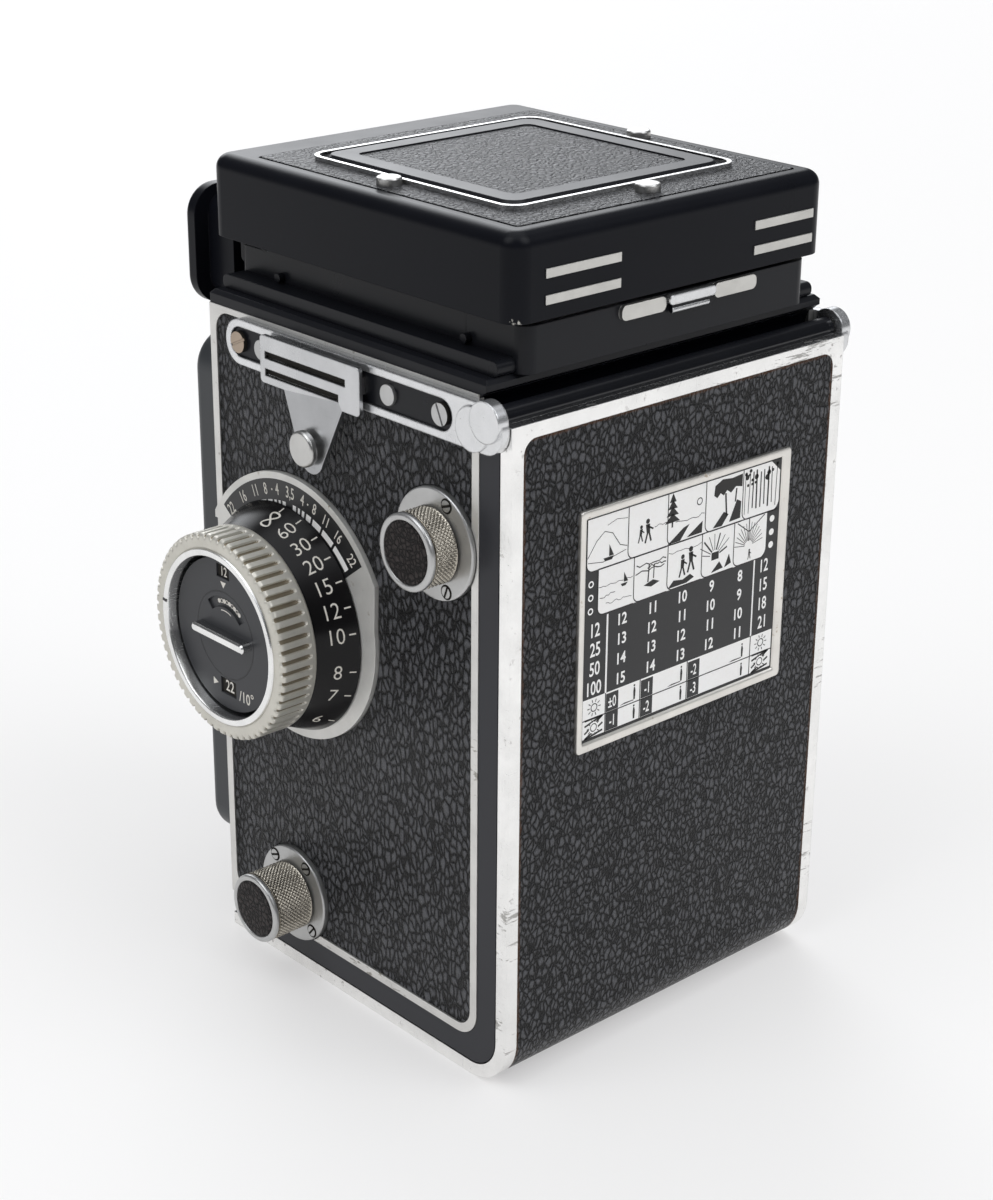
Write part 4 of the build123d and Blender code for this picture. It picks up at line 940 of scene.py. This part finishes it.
def person(u, v, h, lean=0.0, mat=K):
    """A plain little figure: head, body and two legs."""
    tb.disc(u + lean * h, v + h * 0.9, h * 0.11, mat, L2, 12)
    tb.poly([(u - h * 0.09, v + h * 0.42), (u + h * 0.10, v + h * 0.42), (u + h * 0.12 + lean * h, v + h * 0.78), (u - h * 0.11 + lean * h, v + h * 0.78)], mat, L2)
    tb.line([(u - h * 0.03, v + h * 0.44), (u - h * 0.16, v)], h * 0.09, mat, L2)
    tb.line([(u + h * 0.04, v + h * 0.44), (u + h * 0.17, v + h * 0.03)], h * 0.09, mat, L2)
    tb.line([(u + lean * h, v + h * 0.7), (u + h * 0.28, v + h * 0.52)], h * 0.07, mat, L2)


def fir(u, v, h):
    for i in range(4):
        w = h * (0.30 - 0.055 * i)
        tb.poly([(u - w, v + h * (0.15 + 0.2 * i)), (u + w, v + h * (0.15 + 0.2 * i)), (u, v + h * (0.42 + 0.2 * i))], K, L2)
    tb.line([(u, v), (u, v + h * 0.2)], h * 0.06, K, L2)


# row 1: hills and a boat, walkers, a road with a fir, a leafy garden, a wood
tb.line([(-23.0, 95.0), (-21.0, 97.6), (-19.2, 98.9), (-17.4, 98.2), (-15.6, 95.7), (-13.95, 95.1)], 0.14, K, L2)
tb.line([(-22.9, 94.2), (-19.5, 93.6), (-14.2, 94.5)], 0.12, K, L2)
tb.line([(-18.6, 99.8), (-16.5, 100.4), (-14.0, 100.0)], 0.10, K, L2)
tb.poly([(-19.4, 94.2), (-17.0, 94.2), (-17.4, 93.6), (-19.0, 93.6)], K, L2)
tb.poly([(-18.1, 94.3), (-18.1, 96.4), (-17.0, 94.3)], K, L2)
person(-10.9, 94.8, 3.0, 0.05)
person(-9.1, 94.4, 4.2, -0.04)
wavy(-7.6, -4.7, 96.9, 0.2, 6, 3, 0.1)
fir(-3.4, 95.6, 6.0)
tb.poly([(-4.4, 92.7), (-0.6, 94.9), (0.8, 95.2), (-1.4, 92.7)], K, L2)
tb.poly([(0.2, 92.9), (3.9, 92.9), (4.0, 95.0), (2.2, 94.0)], K, L2)
wavy(-2.6, 4.4, 96.2, 0.25, 10, 5, 0.12)
tb.disc(3.1, 98.7, 0.7, K, L2, 16, ri=0.52)
g = np.random.default_rng(11)
tb.poly([(6.6, 98.8), (7.4, 98.2), (8.2, 98.9), (9.0, 98.3), (9.8, 99.1), (10.8, 98.4), (12.0, 99.3), (13.6, 98.9), (13.6, 101.2), (11.0, 101.0), (8.6, 101.3), (6.8, 100.5)], K, L2)
tb.poly([(6.6, 92.9), (9.2, 95.3), (10.4, 94.6), (8.8, 92.8)], K, L2)
tb.poly([(10.6, 93.1), (12.4, 96.8), (13.5, 96.2), (13.4, 93.2)], K, L2)
tb.line([(9.5, 98.6), (9.9, 94.5)], 0.4, K, L2)
tb.line([(12.2, 98.9), (12.0, 96.5)], 0.35, K, L2)
for i in range(9):
    u = 14.4 + i * 0.98
    tb.line([(u, 93.3 + float(g.uniform(0, 1.0))), (u + float(g.uniform(-0.25, 0.25)), 101.2 - float(g.uniform(0, 0.9)))], float(g.uniform(0.12, 0.42)), K, L2)
for i in range(16):
    u, v = float(g.uniform(14.3, 22.6)), float(g.uniform(98.6, 101.2))
    tb.disc(u, v, float(g.uniform(0.2, 0.55)), K, L2, 8)
# row 2: sea and sail, a pier, people by the water, a hall, a vault of rays
wavy(-20.3, -12.4, 89.2, 0.12, 14, 21, 0.1)
wavy(-20.0, -16.5, 87.4, 0.3, 7, 22, 0.12)
wavy(-18.6, -12.6, 86.0, 0.25, 12, 23, 0.1)
tb.poly([(-15.2, 88.6), (-13.6, 88.6), (-14.1, 88.1), (-14.9, 88.1)], K, L2)
tb.poly([(-14.5, 88.8), (-14.5, 90.6), (-13.5, 88.8)], K, L2)
for v, a, b in ((90.6, -11.6, -4.6), (89.4, -11.8, -5.0), (90.0, -9.0, -4.6)):
    wavy(a, b, v, 0.25, 9, int(v * 10), 0.2)
tb.line([(-8.6, 90.4), (-8.8, 87.2)], 0.28, K, L2)
tb.line([(-7.4, 90.2), (-7.5, 87.6)], 0.22, K, L2)
tb.poly([(-9.8, 86.8), (-7.6, 87.4), (-6.0, 86.7), (-8.0, 86.2)], K, L2)
person(-0.6, 86.0, 4.0, 0.02)
person(1.5, 86.4, 4.6, -0.02)
tb.poly([(-4.0, 84.6), (-2.6, 85.8), (-0.4, 85.4), (1.4, 86.0), (2.4, 85.2), (0.6, 84.6)], K, L2)
wavy(-4.0, 4.0, 90.9, 0.2, 8, 31, 0.1)
for i, a in enumerate(np.linspace(20, 165, 9)):
    t = math.radians(a)
    tb.line([(7.4 + 1.2 * math.cos(t), 87.6 + 1.2 * math.sin(t)), (7.4 + 4.4 * math.cos(t), 87.6 + 4.4 * math.sin(t) * 0.95)] if abs(math.cos(t) * 4.4) < 4.0 else [(7.4 + 1.2 * math.cos(t), 87.6 + 1.2 * math.sin(t)), (7.4 + 3.2 * math.cos(t), 87.6 + 3.2 * math.sin(t))], 0.14 if i % 3 else 0.3, K, L2)
tb.poly([(6.6, 84.7), (8.6, 86.4), (9.6, 85.0)], K, L2)
tb.poly([(9.9, 84.9), (11.0, 87.2), (11.6, 85.4)], K, L2)
tb.rect(6.6, 8.4, 87.0, 88.4, K, L2)
for i, a in enumerate(np.linspace(8, 172, 15)):
    t = math.radians(a)
    r1 = 3.6
    tb.line([(15.9 + 1.0 * math.cos(t), 87.4 + 1.0 * math.sin(t)), (15.9 + r1 * math.cos(t), 87.4 + r1 * math.sin(t) * 1.2)], 0.12, K, L2)
tb.line([(12.9, 92.2), (15.9, 90.0), (19.8, 92.3)], 0.2, K, L2)
tb.line([(15.9, 92.4), (15.9, 88.3)], 0.22, K, L2)
person(16.2, 84.8, 1.9)
# marks at the heads of the two side columns, in place of words
for u, v in ((-22.05, 90.3), (-22.05, 87.9), (-22.05, 85.5), (21.75, 91.0), (21.75, 88.5), (21.75, 86.1)):
    tb.disc(u, v, 0.62, W, L1, 18, ri=0.36 if u < 0 else 0.0)
# number grid
COLS = (-14.5, -7.35, -0.1, 7.0, 14.15)
ROWS = (82.25, 78.7, 75.1, 71.45)
for i, v in enumerate(ROWS):
    for j, u in enumerate(COLS):
        tb.text(str(12 + i - j) if not (i == 0 and j == 0) else "12", u, v, 2.15, W, L1, sx=0.86, bold=0.022)
for v, a, b in zip((81.9, 78.4, 74.9, 71.4), ("12", "25", "50", "100"), ("12", "15", "18", "21")):
    tb.text(a, -20.75, v, 2.55, W, L1, sx=0.72, bold=0.016)
for v, a in zip((82.6, 79.0, 75.4, 71.8), ("12", "15", "18", "21")):
    tb.text(a, 20.4, v, 2.45, W, L1, sx=0.72, bold=0.014)
tb.rect(-18.25, -17.85, 69.5, 84.0, W, L1)
tb.rect(17.55, 17.9, 69.8, 84.3, W, L1)
# the two white rows at the bottom
tb.rect(-23.3, 23.2, 62.3, 69.65, W, L1)
tb.line([(-23.3, 65.85), (23.2, 65.85)], 0.2, K, L2)
tb.line([(-23.3, 62.35), (23.2, 62.35)], 0.2, K, L2)
for u in (-18.05, -9.85, 1.65, 17.7):
    tb.line([(u, 62.3), (u, 69.65)], 0.2, K, L2)


def label(u0, v0, txt):
    tb.rect(u0, u0 + 2.9, v0, v0 + 3.35, B, L2)
    tb.text(txt, u0 + 1.45, v0 + 1.65, 2.1, W, L3, sx=0.62, bold=0.012)


label(-17.9, 66.0, "±0")
label(-9.65, 66.0, "-1")
label(1.85, 66.0, "-2")
label(-17.9, 62.5, "-1")
label(-9.65, 62.5, "-2")
label(1.85, 62.5, "-3")
for u, v, h, m in ((-11.2, 66.4, 2.9, 1), (0.2, 66.4, 2.9, 1), (15.6, 66.4, 2.7, 1), (-11.2, 62.8, 2.7, 0), (0.2, 62.8, 2.7, 0), (15.6, 62.8, 2.5, 0)):
    tb.poly([(u - 0.16, v), (u + 0.2, v), (u + 0.3, v + h * 0.55), (u + 0.12, v + h * 0.8), (u - 0.14, v + h * 0.78), (u - 0.22, v + h * 0.5)], K, L2)
    tb.disc(u, v + h * 0.9, 0.2, K, L2, 10)
    if m:
        tb.poly([(u - 0.2, v), (u - 2.3, v + 0.05), (u - 3.4, v - 0.2), (u - 0.1, v - 0.15)], K, L2)


def sun(u, v, mat, hatch=False):
    if hatch:
        for i in range(5):
            o = -3.0 + i * 1.35
            a_, b_ = (u - 2.1, v + o - 0.4), (u + 2.1, v + o + 2.0)
            pts = [(max(min(q[0], u + 2.2), u - 2.2), max(min(q[1], v + 1.7), v - 1.7)) for q in (a_, b_)]
            tb.line(pts, 0.36, K, L2)
        tb.disc(u, v, 1.1, W, L2 + 0.005, 20)
    tb.disc(u, v, 0.78, mat, L3, 20, ri=0.6)
    for i in range(10):
        t = 2 * math.pi * i / 10
        tb.line([(u + 1.0 * math.cos(t), v + 1.0 * math.sin(t)), (u + 1.55 * math.cos(t), v + 1.55 * math.sin(t))], 0.16, mat, L3)


sun(-20.7, 67.8, K)
sun(-20.7, 64.1, K, True)
sun(20.4, 67.8, K)
sun(20.4, 64.1, K, True)
ob = tb.make()

for ob, body in PIECES:
    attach(ob, body)

# ---- stage --------------------------------------------------------------------------------------------
def stage_floor():
    me = bpy.data.meshes.new("floor")
    s, n = 3.2, 24
    v = [(-s + 2 * s * i / n, -s + 2 * s * j / n, -0.00004) for j in range(n + 1) for i in range(n + 1)]
    f = [(j * (n + 1) + i, j * (n + 1) + i + 1, (j + 1) * (n + 1) + i + 1, (j + 1) * (n + 1) + i) for j in range(n) for i in range(n)]
    me.from_pydata(v, [], f)
    ob = bpy.data.objects.new("floor", me)
    SC.collection.objects.link(ob)
    k = Mat("paper", (0.90, 0.90, 0.895), 0, 0.75, 0.25)
    n1 = k.noise(900, 3)
    k.set(Base_Color=k.mix(k.noise(2.5, 2), (0.425, 0.42, 0.41), (0.435, 0.43, 0.42)), Normal=k.bump(n1, 0.05, 0.0001))
    k.b.inputs["Emission Color"].default_value = (1.0, 0.99, 0.995, 1)      # a self-lit paper sweep keeps the shadows faint
    k.b.inputs["Emission Strength"].default_value = 0.45
    me.materials.append(k.m)


stage_floor()

# The light comes from a bright backdrop behind the camera body, a large overhead panel and a weak all-round fill.
SKY = [((-0.46, -0.78, 0.42), 8, 27, 3.3), ((-0.05, 0.0, 1.0), 18, 46, 1.45), ((0.80, -0.15, 0.85), 8, 27, 2.8), ((-0.30, 0.85, 0.85), 8, 27, 3.2)]
AMBIENT = 0.12

w = bpy.data.worlds.new("studio")
SC.world = w
w.use_nodes = True
nt = w.node_tree
nt.nodes.clear()


def wnode(kind, **inputs):
    n = nt.nodes.new(kind)
    for k, v in inputs.items():
        i = int(k[1:])
        if isinstance(v, bpy.types.NodeSocket):
            nt.links.new(v, n.inputs[i])
        else:
            n.inputs[i].default_value = v
    return n


def lobe(direction, inner, outer, strength):
    """A soft round light in the sky: full inside `inner` degrees of the direction, nothing past `outer`."""
    d = Vector(direction).normalized()
    dot = nt.nodes.new("ShaderNodeVectorMath")
    dot.operation = "DOT_PRODUCT"
    nt.links.new(tc.outputs["Generated"], dot.inputs[0])
    dot.inputs[1].default_value = d
    mr = nt.nodes.new("ShaderNodeMapRange")
    mr.interpolation_type = "SMOOTHSTEP"
    nt.links.new(dot.outputs["Value"], mr.inputs[0])
    mr.inputs[1].default_value = math.cos(math.radians(outer))
    mr.inputs[2].default_value = math.cos(math.radians(inner))
    mr.inputs[3].default_value = 0.0
    mr.inputs[4].default_value = strength
    return mr.outputs[0]


tc = nt.nodes.new("ShaderNodeTexCoord")
wo = nt.nodes.new("ShaderNodeOutputWorld")
bg = nt.nodes.new("ShaderNodeBackground")
nt.links.new(bg.outputs[0], wo.inputs[0])
total = None
for d, i, o, st in SKY:
    v = lobe(d, i, o, st)
    if total is None:
        total = v
    else:
        ad = nt.nodes.new("ShaderNodeMath")
        ad.operation = "ADD"
        nt.links.new(total, ad.inputs[0])
        nt.links.new(v, ad.inputs[1])
        total = ad.outputs[0]
ad = nt.nodes.new("ShaderNodeMath")
ad.operation = "ADD"
nt.links.new(total, ad.inputs[0])
ad.inputs[1].default_value = AMBIENT
nt.links.new(ad.outputs[0], bg.inputs[1])
bg.inputs[0].default_value = (0.95, 0.97, 1.0, 1)

cam = bpy.data.cameras.new("camera")
cam.lens, cam.sensor_width, cam.sensor_fit = 71.54, 36.0, "AUTO"
cam.clip_start, cam.clip_end = 0.02, 20
co = bpy.data.objects.new("camera", cam)
SC.collection.objects.link(co)
R_ = Vector((-0.741203067, 0.671237627, 0.007619822))
D_ = Vector((0.252609196, 0.289420383, -0.923268344))
F_ = Vector((-0.621937784, -0.682404492, -0.384080073))
m = Matrix.Identity(4)
for i in range(3):
    m[i][0], m[i][1], m[i][2] = R_[i], -D_[i], -F_[i]
m.translation = Vector((0.273394, 0.293026, 0.235900))
co.matrix_world = m
SC.camera = co
SC.view_settings.view_transform = "Standard"
SC.view_settings.look = "None"
SC.view_settings.exposure = 0.0
SC.view_settings.gamma = 1.0
